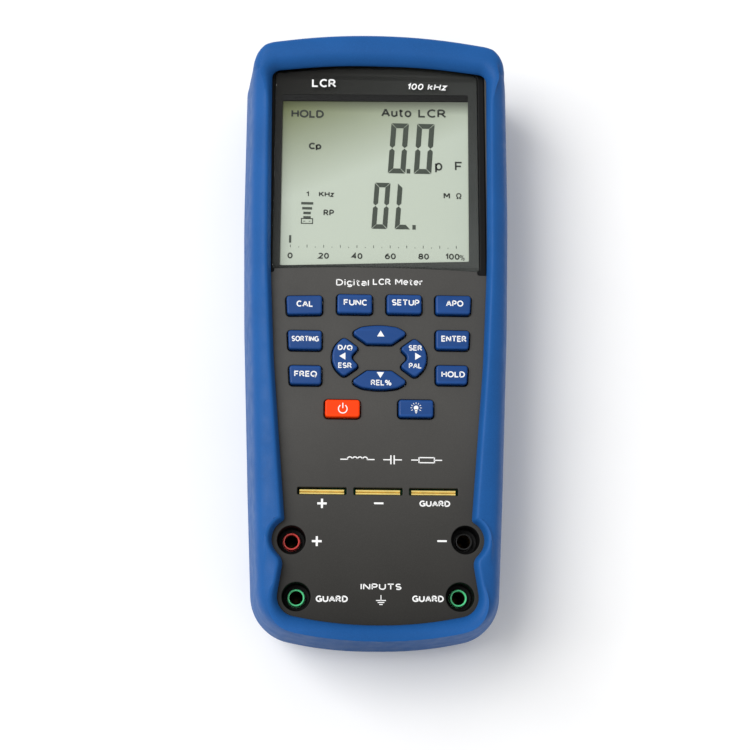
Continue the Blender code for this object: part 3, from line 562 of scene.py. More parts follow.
def clear_window():
    """Acrylic as a thin clear sheet: its outer side reflects, and light and shadow pass through."""
    made = Surface("lens_acrylic")
    tree = made.tree
    clear = made.node("ShaderNodeBsdfTransparent")
    clear.inputs["Color"].default_value = (0.985, 0.99, 0.985, 1.0)
    gloss = made.node("ShaderNodeBsdfGlossy")
    made.join(made.span(made.noise(9.0, 5.0), 0.03, 0.12), gloss.inputs["Roughness"])
    fresnel = made.node("ShaderNodeFresnel")
    fresnel.inputs["IOR"].default_value = 1.30
    front = made.span(made.node("ShaderNodeNewGeometry").outputs["Backfacing"], 1.0, 0.0, 0.0, 1.0)
    seen = made.span(made.node("ShaderNodeLightPath").outputs["Is Shadow Ray"], 1.0, 0.0, 0.0, 1.0)
    share = made.multiply(made.multiply(fresnel.outputs["Fac"], front), seen)
    mix = made.node("ShaderNodeMixShader")
    made.join(share, mix.inputs["Fac"])
    made.join(clear.outputs["BSDF"], mix.inputs[1])
    made.join(gloss.outputs["BSDF"], mix.inputs[2])
    made.join(mix.outputs["Shader"], tree.nodes["Material Output"].inputs["Surface"])
    return made.material


def black_print():
    """Gloss border printed on the lens: nearly black at the display's top left, greyer low on the right,
    where the greyer tone is a painted reflection.
    """
    made = Surface("lens_print")
    # Painted reflection: the black print turns greyer towards the lower right.
    painted_light_fade = made.gradient((LENS_LOW.x, LENS_HIGH.y), (LENS_HIGH.x, LENS_LOW.y))
    haze = made.noise(14.0, 4.0)
    low = made.blend(made.span(haze, 0.0, 0.4), (0.068, 0.072, 0.068), (0.092, 0.097, 0.092))
    return made.set(
        Base_Color=made.blend(painted_light_fade, (0.005, 0.004, 0.003), low),
        Roughness=made.span(haze, 0.32, 0.4),
        Specular_IOR_Level=0.12,
    )


def lcd_face():
    """Liquid-crystal face: olive at the top left, pale grey-green low down, and shaded under its top rim;
    the olive-to-pale change is painted reflection and view-angle tint over the cell's own grey-green, and
    the rim's shade is a painted shadow.
    """
    made = Surface("lcd_cell")
    # Painted light: the face runs from olive to pale grey-green as reflection and viewing angle would make
    # it.
    painted_light_fade = made.gradient((LENS_X - 29.0, LENS_HIGH.y - 12.8), (LENS_X - 16.8, LENS_HIGH.y - 42.1))
    cloud = made.noise(22.0, 3.0)
    olive = made.blend(made.span(cloud, 0.0, 1.0), (0.11, 0.128, 0.03), (0.135, 0.157, 0.04))
    speckle = made.span(made.noise(0.12, 2.0), 0.0, 0.5)
    pale = made.blend(speckle, (0.535, 0.585, 0.50), (0.485, 0.535, 0.455))
    # Painted shadow of the top rim, darkening the face just under it.
    shade = made.gradient((0.0, LENS_HIGH.y - 16.5), (0.0, LENS_HIGH.y - 12.6))
    lit = made.blend(made.multiply(shade, 0.62), made.blend(painted_light_fade, olive, pale), (0.0, 0.0, 0.0))
    return made.set(Base_Color=lit, Roughness=made.span(cloud, 0.32, 0.42))


def laminate():
    """Green board: solder mask over fine copper tracks that show as paler lines."""
    made = Surface("board_laminate")
    tracks = made.span(made.cells(2.2), 0.0, 1.0, 0.35, 0.42)
    base = made.blend(tracks, (0.012, 0.105, 0.04), (0.02, 0.17, 0.07))
    made.bump(tracks, 0.03)
    return made.set(Base_Color=base, Roughness=made.span(made.noise(1.0), 0.25, 0.4), Coat_Weight=0.3)


def foam(name, colour):
    made = Surface(name)
    pores = made.cells(0.5)
    made.bump(pores, 0.08)
    return made.set(Base_Color=made.blend(pores, tinted(colour, 0.5), colour), Roughness=0.95)


def pale_floor():
    """Even pale sheet that is clear when seen from below."""
    made = Surface("floor_sheet")
    tree = made.tree
    tone = made.blend(made.span(made.noise(40.0, 5.0), 0.0, 1.0), (0.94, 0.94, 0.94), (0.96, 0.96, 0.96))
    made.set(Base_Color=tone, Roughness=0.8)
    clear = made.node("ShaderNodeBsdfTransparent")
    mix = made.node("ShaderNodeMixShader")
    made.join(made.node("ShaderNodeNewGeometry").outputs["Backfacing"], mix.inputs["Fac"])
    made.join(made.shader.outputs["BSDF"], mix.inputs[1])
    made.join(clear.outputs["BSDF"], mix.inputs[2])
    made.join(mix.outputs["Shader"], tree.nodes["Material Output"].inputs["Surface"])
    return made.material


# Protective boot

RIM_UNDERSIDE = CASE_HIGH.z + 0.3
RIM_SIDE_SLOPE = 1.3
RIM_TOP_SLOPE = 3.6
RIM_BOTTOM_SLOPE = 3.4
RIM_FOOT = (31.4, -88.6)
RIM_HEAD = (35.3, 87.3)
RIM_LOW = -92.3
RIM_HIGH = 89.8

# From lip to crest: share of the slope's width, and share of its rise
RIM_CURVE = ((0.0, 0.12), (0.12, 0.33), (0.3, 0.57), (0.5, 0.75), (0.7, 0.87), (0.9, 0.95), (1.15, 0.99))
# From crest to back: inset and height along the drafted sides, then the same two at the straight top end
SHOULDER = (
    (5.0, 39.95, 2.6, 40.95),
    (4.0, 39.2, 1.4, 40.75),
    (3.25, 38.2, 0.7, 40.3),
    (2.7, 36.9, 0.25, 39.5),
    (2.25, 35.0, 0.0, 37.8),
    (1.65, 31.5, 0.0, 32.0),
    (1.0, 27.5, 0.0, 27.5),
    (0.4, 23.0, 0.0, 23.0),
    (0.0, 20.0, 0.0, 20.0),
    (-0.1, 19.5, -0.1, 19.5),
    (0.0, 19.0, 0.0, 19.0),
    (0.25, 14.0, 0.0, 14.0),
    (0.8, 8.0, 0.0, 8.0),
    (1.4, 4.0, 0.1, 4.0),
    (2.0, 2.0, 0.5, 2.2),
    (2.9, 0.7, 1.3, 0.8),
    (4.0, 0.1, 2.4, 0.15),
    (5.4, 0.0, 4.5, 0.0),
)
# Back lip and inner wall: inset and height
INSIDE = ((7.7, 0.0), (8.0, 0.3), (8.0, 1.7), (7.7, 2.0), (2.6, 2.0), (3.4, 34.0), (4.4, 37.2))


def boot_outline_corners():
    """Right half of the outer shape, as far out as the CAD boot reaches."""
    half = BOOT_HIGH.x
    end = BOOT_HIGH.y
    return [
        (14.0, -end + 0.7, 115.0),
        (half - 5.4, -end + 5.6, 15.0),
        (half - 3.3, -0.52 * end, 400.0),
        (half - 0.9, 0.036 * end, 400.0),
        (half, 0.4 * end, 500.0),
        (half, end - 4.4, 11.5),
        (15.0, end, 190.0),
    ]


def rim_opening_corners():
    """Right half of the front opening, which bulges round each socket."""
    return [
        (12.0, RIM_LOW, 120.0),
        (*RIM_FOOT, 6.0),
        (28.9, -72.8, 4.0),
        (32.5, -68.8, 6.0),
        (32.5, -63.04, 6.0),
        (28.7, -60.8, 1.2),
        (32.9, -11.0, 300.0),
        (34.6, 22.0, 300.0),
        (*RIM_HEAD, 3.0),
        (14.5, RIM_HIGH, 180.0),
    ]


def ring_at(points, height):
    heights = height if isinstance(height, list) else [height] * len(points)
    return [(point.x, point.y, z) for point, z in zip(points, heights)]


def build_boot(finish):
    """One skin of C section: sloped rim, rounded crest and edges, side wall, and the lip round the back."""
    outer_line = rounded(mirrored(boot_outline_corners()))
    inner_line = rounded(mirrored(rim_opening_corners()))
    half = BOOT_HIGH.x
    end = BOOT_HIGH.y
    counts = [90, 330, 90, 90, 330, 90]
    outer_anchors = [(0, -end), (half - 6.0, -end + 6.0), (half, end - 4.4)]
    outer_anchors += [(0, end), (-half, end - 4.4), (-half + 6.0, -end + 6.0)]
    inner_anchors = [(0, RIM_LOW), RIM_FOOT, RIM_HEAD]
    inner_anchors += [(0, RIM_HIGH), (-RIM_HEAD[0], RIM_HEAD[1]), (-RIM_FOOT[0], RIM_FOOT[1])]
    outer = between_anchors(outer_line, outer_anchors, counts)
    inner = between_anchors(inner_line, inner_anchors, counts)
    slopes = []
    for point in inner:
        toward_top = min(max((point.y - 74.0) / 14.0, 0.0), 1.0)
        toward_bottom = min(max((-78.0 - point.y) / 12.0, 0.0), 1.0)
        slope = RIM_SIDE_SLOPE + (RIM_TOP_SLOPE - RIM_SIDE_SLOPE) * toward_top ** 2
        slopes.append(slope + (RIM_BOTTOM_SLOPE - RIM_SIDE_SLOPE) * toward_bottom ** 2)
    top = BOOT_HIGH.z
    rise = top - RIM_UNDERSIDE
    crest = inset(inner, [-slope for slope in slopes])
    rings = [ring_at(inset(inner, -0.25), RIM_UNDERSIDE)]
    rings.append(ring_at(inset(inner, -0.05), RIM_UNDERSIDE + 0.12))
    for share, lift in RIM_CURVE:
        between = [a.lerp(b, share) for a, b in zip(inner, crest)]
        rings.append(ring_at(between, RIM_UNDERSIDE + rise * lift))
    straight = [min(max((point.y - 88.0) / 8.0, 0.0), 1.0) for point in outer]
    past = [a.lerp(b, 1.45) for a, b in zip(inner, crest)]
    first = SHOULDER[0]
    shoulder = inset(outer, [first[0] + (first[2] - first[0]) * share for share in straight])
    levels = [first[1] + (first[3] - first[1]) * share for share in straight]
    for share in (0.0, 0.3, 0.65):
        between = [a.lerp(b, share) for a, b in zip(past, shoulder)]
        rings.append(ring_at(between, [top + (level - top) * share ** 1.5 for level in levels]))
    for side_inset, side_height, end_inset, end_height in SHOULDER:
        line = inset(outer, [side_inset + (end_inset - side_inset) * share for share in straight])
        levels = [side_height + (end_height - side_height) * share for share in straight]
        rings.append(ring_at(line, levels))
    for inward, height in INSIDE:
        rings.append(ring_at(inset(outer, inward), BOOT_LOW.z + height))
    boot = loft("boot_shell", rings)
    piece(boot, METER, finish, ("protective_boot",))


# Case front


def lens_corners(grow=0.0):
    half = LENS_HALF + grow
    low = LENS_LOW.y
    high = LENS_HIGH.y
    return [
        (LENS_X, low + 1.5 - grow, 600.0),
        (LENS_X + half, low - grow, 0.8),
        (LENS_X + half, high - 2.5 + grow, 3.0),
        (LENS_X + half / 2, high + grow, 160.0),
        (LENS_X - half / 2, high + grow, 160.0),
        (LENS_X - half, high - 2.5 + grow, 3.0),
        (LENS_X - half, low - grow, 0.8),
    ]


def lens_flange_corners(grow=0.0):
    """The lens's lower step: it reaches out under the boot's lip at both sides."""
    half = LENS_HALF + 2.3 + grow
    step = LENS_HALF - 0.6 - grow
    low = LENS_LOW.y
    high = LENS_HIGH.y + 0.8 + grow
    return [
        (LENS_X, low + 1.2 - grow, 600.0),
        (LENS_X + step, low - 0.3 - grow, 0.3),
        (LENS_X + step, low - 1.6 - grow, 0.7),
        (LENS_X + half, low - 1.6 - grow, 0.7),
        (LENS_X + half, high - 2.5, 3.0),
        (LENS_X + half / 2, high, 160.0),
        (LENS_X - half / 2, high, 160.0),
        (LENS_X - half, high - 2.5, 3.0),
        (LENS_X - half, low - 1.6 - grow, 0.7),
        (LENS_X - step, low - 1.6 - grow, 0.7),
        (LENS_X - step, low - 0.3 - grow, 0.3),
    ]


FLANGE_REACH = 0.9
KEY_CORNER = 0.9
KEY_GAP = 0.43
KEY_GAP_SHIFT = Vector((0.0, -0.1))
KEY_NAMES = sorted(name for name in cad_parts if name.startswith("key_"))
SIDE_KEYS = ("key_cal", "key_apo", "key_sorting", "key_enter", "key_freq", "key_hold")
TAPER_LEAN = 0.36
TOP_ROW_DROP = {"key_cal": 0.3}


def cluster_corners(name):
    """Corners of a key of the oval cluster."""
    if name in ("key_up", "key_down"):
        corners = mirrored([(3.9, 4.35, 0.8), (8.9, 7.9, 0.9), (5.6, 9.8, 5.0), (1.6, 10.3, 20.0)])
        if name == "key_down":
            corners = [(x, -y, radius) for x, y, radius in reversed(corners)]
    else:
        corners = [(9.35, 0.0, 1.6), (6.5, -2.9, 0.9), (11.2, -6.35, 1.3), (14.8, -2.9, 6.0)]
        corners += [(14.8, 2.9, 6.0), (11.2, 6.35, 1.3), (6.5, 2.9, 0.9)]
        if name == "key_left":
            corners = [(-x, y, radius) for x, y, radius in reversed(corners)]
    centre_x = (box_mm("key_left")[0].x + box_mm("key_right")[1].x) / 2
    centre_y = (box_mm("key_down")[0].y + box_mm("key_up")[1].y) / 2
    return [(x + centre_x, y + centre_y, radius) for x, y, radius in corners]


def key_outline(name):
    """Cap outline of a key, from its CAD box less the hidden flange."""
    low, high = box_mm(name)
    x_low, y_low = low.x + FLANGE_REACH, low.y + FLANGE_REACH
    x_high, y_high = high.x - FLANGE_REACH, high.y - FLANGE_REACH
    if name in ("key_up", "key_down", "key_left", "key_right"):
        return rounded(cluster_corners(name))
    if name not in SIDE_KEYS:
        return rectangle(x_low, y_low, x_high, y_high, KEY_CORNER)
    drop = TOP_ROW_DROP.get(name, 0.0)
    corners = [
        (x_low, y_low + drop, KEY_CORNER),
        (x_high - TAPER_LEAN, y_low, KEY_CORNER),
        (x_high, y_high - drop, KEY_CORNER),
        (x_low, y_high, KEY_CORNER),
    ]
    if (low.x + high.x) < 0:
        corners = [(x_low + x_high - x, y, radius) for x, y, radius in reversed(corners)]
    return rounded(corners)


def boxes_of(prefix):
    """Boxes of the CAD nodes whose names start with a prefix, by the rest of the name."""
    return {name[len(prefix):]: box_mm(name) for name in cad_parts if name.startswith(prefix)}


SOCKETS = boxes_of("jack_sleeve_")
SLOTS = boxes_of("slot_contact_")
SOCKET_SHIFT = {
    "plus": (0.0, -0.15),
    "minus": (0.33, 0.25),
    "guard_left": (0.0, -0.1),
    "guard_right": (0.2, 0.1),
}
WELL_RADIUS = 4.4
WELL_FLOOR = 28.9
SLOT_HALF_LENGTH = 7.6
SLOT_HEIGHT = 2.3
CONTACT_SHIFT = 0.05
LEAF_FOOT = 29.0


def middle(box):
    return (box[0] + box[1]) / 2


def socket_place(name):
    """Middle of a socket as it looks, a hair off the CAD sleeve's own middle."""
    x, y, _ = middle(SOCKETS[name])
    return x + SOCKET_SHIFT[name][0], y + SOCKET_SHIFT[name][1]


def build_front(finish, well_finish):
    """Panel with rounded openings, the wall below it, the ledge under the lens and the socket wells."""
    outline = inset(rounded(mirrored(boot_outline_corners())), 5.4)
    holes = [rounded(lens_flange_corners(0.15))]
    for name in KEY_NAMES:
        holes.append([point + KEY_GAP_SHIFT for point in inset(key_outline(name), -KEY_GAP)])
    for box in SLOTS.values():
        x, y, _ = middle(box)
        x += CONTACT_SHIFT
        half = SLOT_HEIGHT / 2
        holes.append(rectangle(x - SLOT_HALF_LENGTH, y - half, x + SLOT_HALF_LENGTH, y + half, 0.35))
    for name in SOCKETS:
        x, y = socket_place(name)
        holes.append(circle(x, y, WELL_RADIUS, 96))
    panel = slab("front_panel", [outline, *holes], PANEL_TOP - PANEL_THICKNESS, PANEL_TOP, 0.22)
    piece(panel, METER, finish, ("front_case",))
    edges = [outline, inset(outline, 2.2)]
    wall = slab("front_wall", edges, CASE_LOW.z, PANEL_TOP - PANEL_THICKNESS, 0.1, 1)
    piece(wall, METER, finish)
    edges = [rounded(lens_flange_corners(0.9)), rounded(window_corners(0.3))]
    ledge = slab("window_ledge", edges, GLASS_HIGH.z + 0.3, LENS_LOW.z - 0.05, 0.1)
    piece(ledge, METER, well_finish)
    for name in SOCKETS:
        x, y = socket_place(name)
        rim = WELL_RADIUS - 0.05
        profile = [(rim + 1.0, PANEL_TOP - 0.4), (rim + 1.0, WELL_FLOOR), (2.85, WELL_FLOOR)]
        profile += [(2.85, WELL_FLOOR + 0.6), (rim - 0.4, WELL_FLOOR + 0.6), (rim, WELL_FLOOR + 1.0)]
        profile.append((rim, PANEL_TOP - 0.25))
        profile += [(rim + 0.1, PANEL_TOP - 0.12), (rim + 0.35, PANEL_TOP - 0.1)]
        piece(turned("socket_well_" + name, profile, x, y), METER, well_finish)


# Display

PRINT_LEFT = 2.5
PRINT_RIGHT = 3.25
PRINT_BOTTOM = 2.3
PRINT_TOP = 12.35
PRINT_LEAN = 0.58
WINDOW_STRIP = 2.2
PRINT_DEPTH = 0.12
FLANGE_LOW = 34.6
FLANGE_HIGH = 35.7


def window_corners(reach, raised=0.0):
    """Corners of the display opening, grown sideways and down by a reach, with its top edge raised."""
    left = LENS_LOW.x + PRINT_LEFT - reach
    right = LENS_HIGH.x - PRINT_RIGHT + reach
    low = LENS_LOW.y + PRINT_BOTTOM - reach
    high = LENS_HIGH.y - PRINT_TOP + raised
    lean = PRINT_LEAN
    return [
        (left, low - 2 * lean, 0.4),
        (right, low + 2 * lean, 0.4),
        (right + 0.3, high + lean, 0.4),
        (left, high - lean, 0.4),
    ]


def glass_corners():
    low, high = GLASS_LOW, GLASS_HIGH
    return [(low.x, low.y), (high.x, low.y), (high.x, high.y), (low.x, high.y)]


def build_display(window_finish, print_finish, black_finish, face_finish):
    """Clear lens over its black printed border, its side flange, and the reflective cell."""
    lens = slab("lens_window", [rounded(lens_corners())], LENS_LOW.z + PRINT_DEPTH, LENS_HIGH.z, 0.28)
    piece(lens, METER, window_finish, ("display_lens",))
    view = rounded(window_corners(0.0, WINDOW_STRIP))
    outline = rounded(lens_corners(-0.02))
    border = slab("lens_border", [outline, view], LENS_LOW.z, LENS_LOW.z + PRINT_DEPTH, 0.03, 1)
    piece(border, METER, print_finish)
    inner = rounded(lens_corners(0.25))
    outline = rounded(lens_flange_corners())
    flange = slab("lens_flange", [outline, inner], FLANGE_LOW, FLANGE_HIGH, 0.25)
    piece(flange, METER, black_finish)
    glass = rounded([(x, y, 0.3) for x, y in glass_corners()])
    cell = slab("lcd_cell_body", [glass], GLASS_LOW.z, GLASS_HIGH.z, 0.15)
    piece(cell, METER, face_finish, ("lcd_glass",))
    film = slab("lcd_polariser", [rounded(window_corners(0.28, -0.02))], GLASS_HIGH.z + 0.02, LCD_FACE, 0.1)
    piece(film, METER, face_finish)


SEGMENTS = {"0": "abcdef", "L": "def"}
SCALE_FOOT = 27.9
SCALE_RISE = 0.011


def segment_shapes(digit, x, y, width, height, stroke, gap):
    """Outlines of the lit bars of one digit, upright, with mitred ends."""
    mid = height / 2
    half = stroke / 2
    bars = {
        "a": [(gap, height), (width - gap, height), (width - stroke - gap / 2, height - stroke)]
        + [(stroke + gap / 2, height - stroke)],
        "d": [(stroke + gap / 2, stroke), (width - stroke - gap / 2, stroke)]
        + [(width - gap, 0.0), (gap, 0.0)],
    }
    for name, low, high, side in (
        ("f", mid, height, 0),
        ("e", 0.0, mid, 0),
        ("b", mid, height, 1),
        ("c", 0.0, mid, 1),
    ):
        outer = [(0.0, high - gap), (stroke, high - stroke - gap / 2), (stroke, low + half + gap / 2)]
        bar = outer + [(half, low + gap / 2), (0.0, low + half)]
        if low == 0.0:
            bar = [(bx, mid - by) for bx, by in bar]
        if side:
            bar = [(width - bx, by) for bx, by in bar]
        bars[name] = bar
    return [[Vector((x + bx, y + by)) for bx, by in bars[name]] for name in SEGMENTS[digit]]


def leaning(points, foot, lean):
    return [Vector((p.x + (p.y - foot) * lean, p.y)) for p in points]


def build_readout(segment_finish, word_finish):
    """Lit shapes of the display: two numbers, their units, the bar scale and the mode words."""
    height = LCD_FACE + 0.04
    shapes = []
    rows = [
        (2.90, 53.59, 5.75, 17.5, 1.7, ("0", 0.0), ("0", 8.5)),
        (-2.38, 34.41, 5.1, 15.8, 1.55, ("0", 0.0), ("L", 7.55)),
    ]
    for x, y, width, tall, stroke, *digits in rows:
        for digit, step in digits:
            for shape in segment_shapes(digit, x + step, y, width, tall, stroke, 0.16):
                shapes.append(leaning(shape, y, 0.07))
    shapes.append(rectangle(9.07, 53.64, 10.27, 55.19))
    shapes.append(rectangle(10.92, 34.39, 12.02, 35.94))
    shapes.append(rectangle(-28.88, 29.14, -28.18, 31.69))
    for step, (half, y) in enumerate(((1.95, 42.64), (1.6, 40.94), (1.2, 39.34), (1.2, 37.84))):
        shapes.append(rectangle(-23.2 - half, y - 0.42, -23.2 + half, y + 0.42))
    for box in (
        (-25.15, 35.64, -21.25, 35.94),
        (-25.15, 37.29, -21.25, 37.59),
        (-25.15, 35.64, -24.85, 37.59),
        (-21.55, 35.64, -21.25, 37.59),
        (-24.45, 36.44, -23.75, 36.64),
        (-22.60, 36.44, -22.10, 36.64),
    ):
        shapes.append(rectangle(*box))
    for i in range(21):
        x = -28.42 + 53.55 * i / 20
        tall = 0.9 if i % 2 == 0 else 0.3
        y = SCALE_FOOT + SCALE_RISE * x
        shapes.append(rectangle(x - 0.09, y, x + 0.09, y + tall))
    piece(printed("lcd_segments", shapes, height), METER, segment_finish)
    words = [
        ("hold", "HOLD", (-23.5, 73.75), (10.7, 2.8), 0.62),
        ("auto", "Auto", (5.72, 74.8), (10.0, 3.0), 0.6),
        ("lcr", "LCR", (17.62, 74.85), (9.3, 3.0), 0.58),
        ("mode", "Cp", (-20.92, 62.24), (4.1, 2.85), 0.56),
        ("pico", "p", (19.64, 55.79), (2.4, 3.6), 0.58),
        ("farad", "F", (26.20, 56.49), (2.5, 3.15), 0.54),
        ("one", "1", (-23.16, 45.84), (0.9, 1.75), 0.32),
        ("kilohertz", "KHz", (-17.01, 45.89), (4.9, 1.8), 0.38),
        ("parallel", "RP", (-16.20, 39.59), (3.4, 2.1), 0.42),
        ("mega", "M", (22.20, 46.19), (2.1, 2.1), 0.42),
        ("ohm", "Ω", (26.12, 46.19), (1.85, 2.05), 0.38),
        ("percent", "%", (27.02, 25.14), (1.5, 1.9), 0.18),
    ]
    for name, text, centre, size, weight in words:
        piece(lettering("lcd_" + name, text, centre, size, height, weight), METER, word_finish)
    for i in range(6):
        x = -28.46 + i * 10.75
        width = (1.65, 3.45, 3.5, 3.5, 3.45, 4.6)[i]
        centre = (x - 1.4 if i == 5 else x, SCALE_FOOT - 2.75 + SCALE_RISE * x)
        number = lettering("lcd_scale_%d" % (20 * i), str(20 * i), centre, (width, 2.0), height, 0.42)
        piece(number, METER, word_finish)


# Keys


def build_keys(blue, orange):
    for name in KEY_NAMES:
        low, high = box_mm(name)
        cap = slab(name + "_cap", [key_outline(name)], low.z, high.z, 0.55, 5)
        finish = orange if name == "key_power" else blue
        piece(cap, name, finish, (name,))


def arrow(centre, half_width, half_height, turn):
    corners = ((-half_width, -half_height), (half_width, -half_height), (0, half_height))
    return [Matrix.Rotation(turn, 2) @ Vector(corner) + Vector(centre) for corner in corners]


def arc_band(x, y, radius, width, start, end, steps=32):
    """Band that follows part of a circle, between two angles in degrees."""
    inner_radius = radius - width
    outer = bow(x, y, radius, radius, start, end, steps)
    inner = bow(x, y, inner_radius, inner_radius, start, end, steps)
    return [Vector(point) for point in outer + inner[::-1]]


KEY_WORDS = {
    "key_cal": [("CAL", (0.22, 0.28), (5.25, 2.0))],
    "key_func": [("FUNC", (0.21, 0.37), (7.4, 2.0))],
    "key_setup": [("SETUP", (0.45, 0.45), (8.7, 2.0))],
    "key_apo": [("APO", (0.35, 0.42), (5.5, 2.0))],
    "key_sorting": [("SORTING", (0.18, 0.27), (8.5, 1.75))],
    "key_enter": [("ENTER", (0.34, 0.27), (8.0, 1.95))],
    "key_freq": [("FREQ", (0.16, 0.15), (7.1, 2.1))],
    "key_hold": [("HOLD", (0.3, 0.1), (7.4, 1.95))],
    "key_down": [("REL%", (0.52, -0.89), (6.4, 1.8))],
    "key_left": [("D/Q", (-0.05, 2.85), (4.6, 1.95)), ("ESR", (-0.06, -2.84), (4.3, 1.75))],
    "key_right": [("SER", (0.56, 3.1), (4.2, 1.75)), ("PAL", (0.49, -2.64), (4.05, 1.75))],
}
KEY_ARROWS = {
    "key_up": (0.34, 0.27, 0.0),
    "key_down": (0.27, 1.54, 180.0),
    "key_left": (-0.92, 0.13, 90.0),
    "key_right": (1.4, 0.4, -90.0),
}


def build_key_legends(white):
    """White words and symbols on the keys, each riding on its own key."""
    height = KEY_TOP + 0.005
    for name, legends in KEY_WORDS.items():
        x, y, _ = middle(box_mm(name))
        for i, (text, offset, size) in enumerate(legends):
            weight = 0.32 if size[1] < 1.85 else 0.38
            centre = (x + offset[0], y + offset[1])
            made = lettering("%s_word_%d" % (name, i), text, centre, size, height, weight)
            piece(made, name, white)
    for name, (dx, dy, turn) in KEY_ARROWS.items():
        x, y, _ = middle(box_mm(name))
        shape = arrow((x + dx, y + dy), 1.15, 0.95, math.radians(turn))
        piece(printed(name + "_arrow", [shape], height), name, white)
    x, y, _ = middle(box_mm("key_power"))
    symbol = [arc_band(x + 0.1, y - 0.2, 1.5, 0.32, 125.0, 415.0)]
    symbol.append(rectangle(x - 0.06, y, x + 0.26, y + 1.7, 0.1))
    piece(printed("key_power_symbol", symbol, height), "key_power", white)
    x, y, _ = middle(box_mm("key_light"))
    shapes = [circle(x, y + 0.15, 0.72, 32), rectangle(x - 0.36, y - 1.0, x + 0.36, y - 0.3)]
    shapes.append(rectangle(x - 0.3, y - 1.35, x + 0.3, y - 1.12))
    shapes.append(rectangle(x - 0.16, y - 1.62, x + 0.16, y - 1.45))
    for turn in range(-30, 211, 30):
        ray = [Vector((1.2, -0.09)), Vector((1.75, -0.09)), Vector((1.75, 0.09)), Vector((1.2, 0.09))]
        shapes.append([Matrix.Rotation(math.radians(turn), 2) @ p + Vector((x, y + 0.15)) for p in ray])
    piece(printed("key_light_symbol", shapes, height), "key_light", white)


# Panel legends


def cross(x, y, half, width):
    arm = width / 2
    quarter = [Vector((arm, arm)), Vector((arm, half)), Vector((-arm, half))]
    points = []
    for turn in range(4):
        points += [Matrix.Rotation(math.pi / 2 * turn, 2) @ corner + Vector((x, y)) for corner in quarter]
    return points


def bar(x, y, half, width):
    return rectangle(x - half, y - width / 2, x + half, y + width / 2)


def build_panel_legends(white):
    """Printed function words and signs on the panel and the lens."""
    height = PANEL_TOP + 0.005
    slot_y = middle(SLOTS["plus"]).y
    words = [
        ("title_first", "Digital", (-8.4, LENS_LOW.y - 4.98), (10.45, 2.7), 0.36),
        ("title_middle", "LCR", (0.96, LENS_LOW.y - 4.39), (5.8, 2.1), 0.38),
        ("title_last", "Meter", (9.64, LENS_LOW.y - 4.32), (8.9, 2.1), 0.36),
        ("slot_guard", "GUARD", (17.45, slot_y - 3.65), (9.5, 1.9), 0.42),
        ("guard_left", "GUARD", (-14.0, middle(SOCKETS["guard_left"]).y - 0.7), (9.7, 1.95), 0.42),
        ("guard_right", "GUARD", (15.2, middle(SOCKETS["guard_right"]).y - 0.5), (9.6, 1.95), 0.42),
        ("inputs", "INPUTS", (0.9, -80.65), (12.4, 1.9), 0.36),
    ]
    for name, text, centre, size, weight in words:
        made = lettering("legend_" + name, text, centre, size, height, weight)
        piece(made, METER, white)
    signs = {
        "slot_plus": [cross(-17.3, slot_y - 3.9, 1.45, 0.66)],
        "slot_minus": [bar(0.15, slot_y - 3.7, 1.45, 0.56)],
        "plus": [cross(-18.75, -67.0, 1.5, 0.66)],
        "minus": [bar(19.6, -66.65, 1.45, 0.56)],
        "ground": [bar(0.9, -84.0, 0.13, 1.6), bar(0.9, -84.8, 1.5, 0.28), bar(0.9, -85.4, 1.0, 0.28)]
        + [bar(0.9, -86.0, 0.5, 0.28)],
    }
    for name, shapes in signs.items():
        piece(printed("legend_" + name, shapes, height), METER, white)
    build_component_symbols(white, height)
    lens_height = LENS_HIGH.z + 0.005
    lens_words = [
        ("family", "LCR", (-18.2, 83.9), (8.0, 2.9), 0.55, 0.0),
        ("span", "100 kHz", (15.8, 83.4), (13.0, 2.2), 0.4, 0.2),
    ]
    for name, text, centre, size, weight, slant in lens_words:
        made = lettering("legend_" + name, text, centre, size, lens_height, weight, slant)
        piece(made, METER, white)


def build_component_symbols(white, height):
    """Drawing symbols of a coil, a capacitor and a resistor, above the component slots."""
    y = -41.6
    line = 0.34
    coil = [bar(-10.6, y, 1.2, line), bar(-2.4, y, 1.2, line)]
    for i in range(4):
        coil.append(arc_band(-8.85 + 1.57 * i, y, 0.95, line, 0.0, 180.0, 16))
    capacitor = [bar(2.6, y, 1.1, line), bar(6.2, y, 1.1, line)]
    capacitor += [rectangle(x - 0.2, y - 1.4, x + 0.2, y + 1.4) for x in (3.87, 4.9)]
    resistor = [bar(11.4, y, 1.2, line), bar(18.6, y, 1.2, line)]
    resistor += [bar(15.0, y + side * 0.8, 2.4, line) for side in (-1, 1)]
    resistor += [rectangle(x - line / 2, y - 0.9, x + line / 2, y + 0.9) for x in (12.6, 17.4)]
    for name, shapes in (("coil", coil), ("capacitor", capacitor), ("resistor", resistor)):
        piece(printed("legend_" + name, shapes, height), METER, white)


# Contacts and sockets


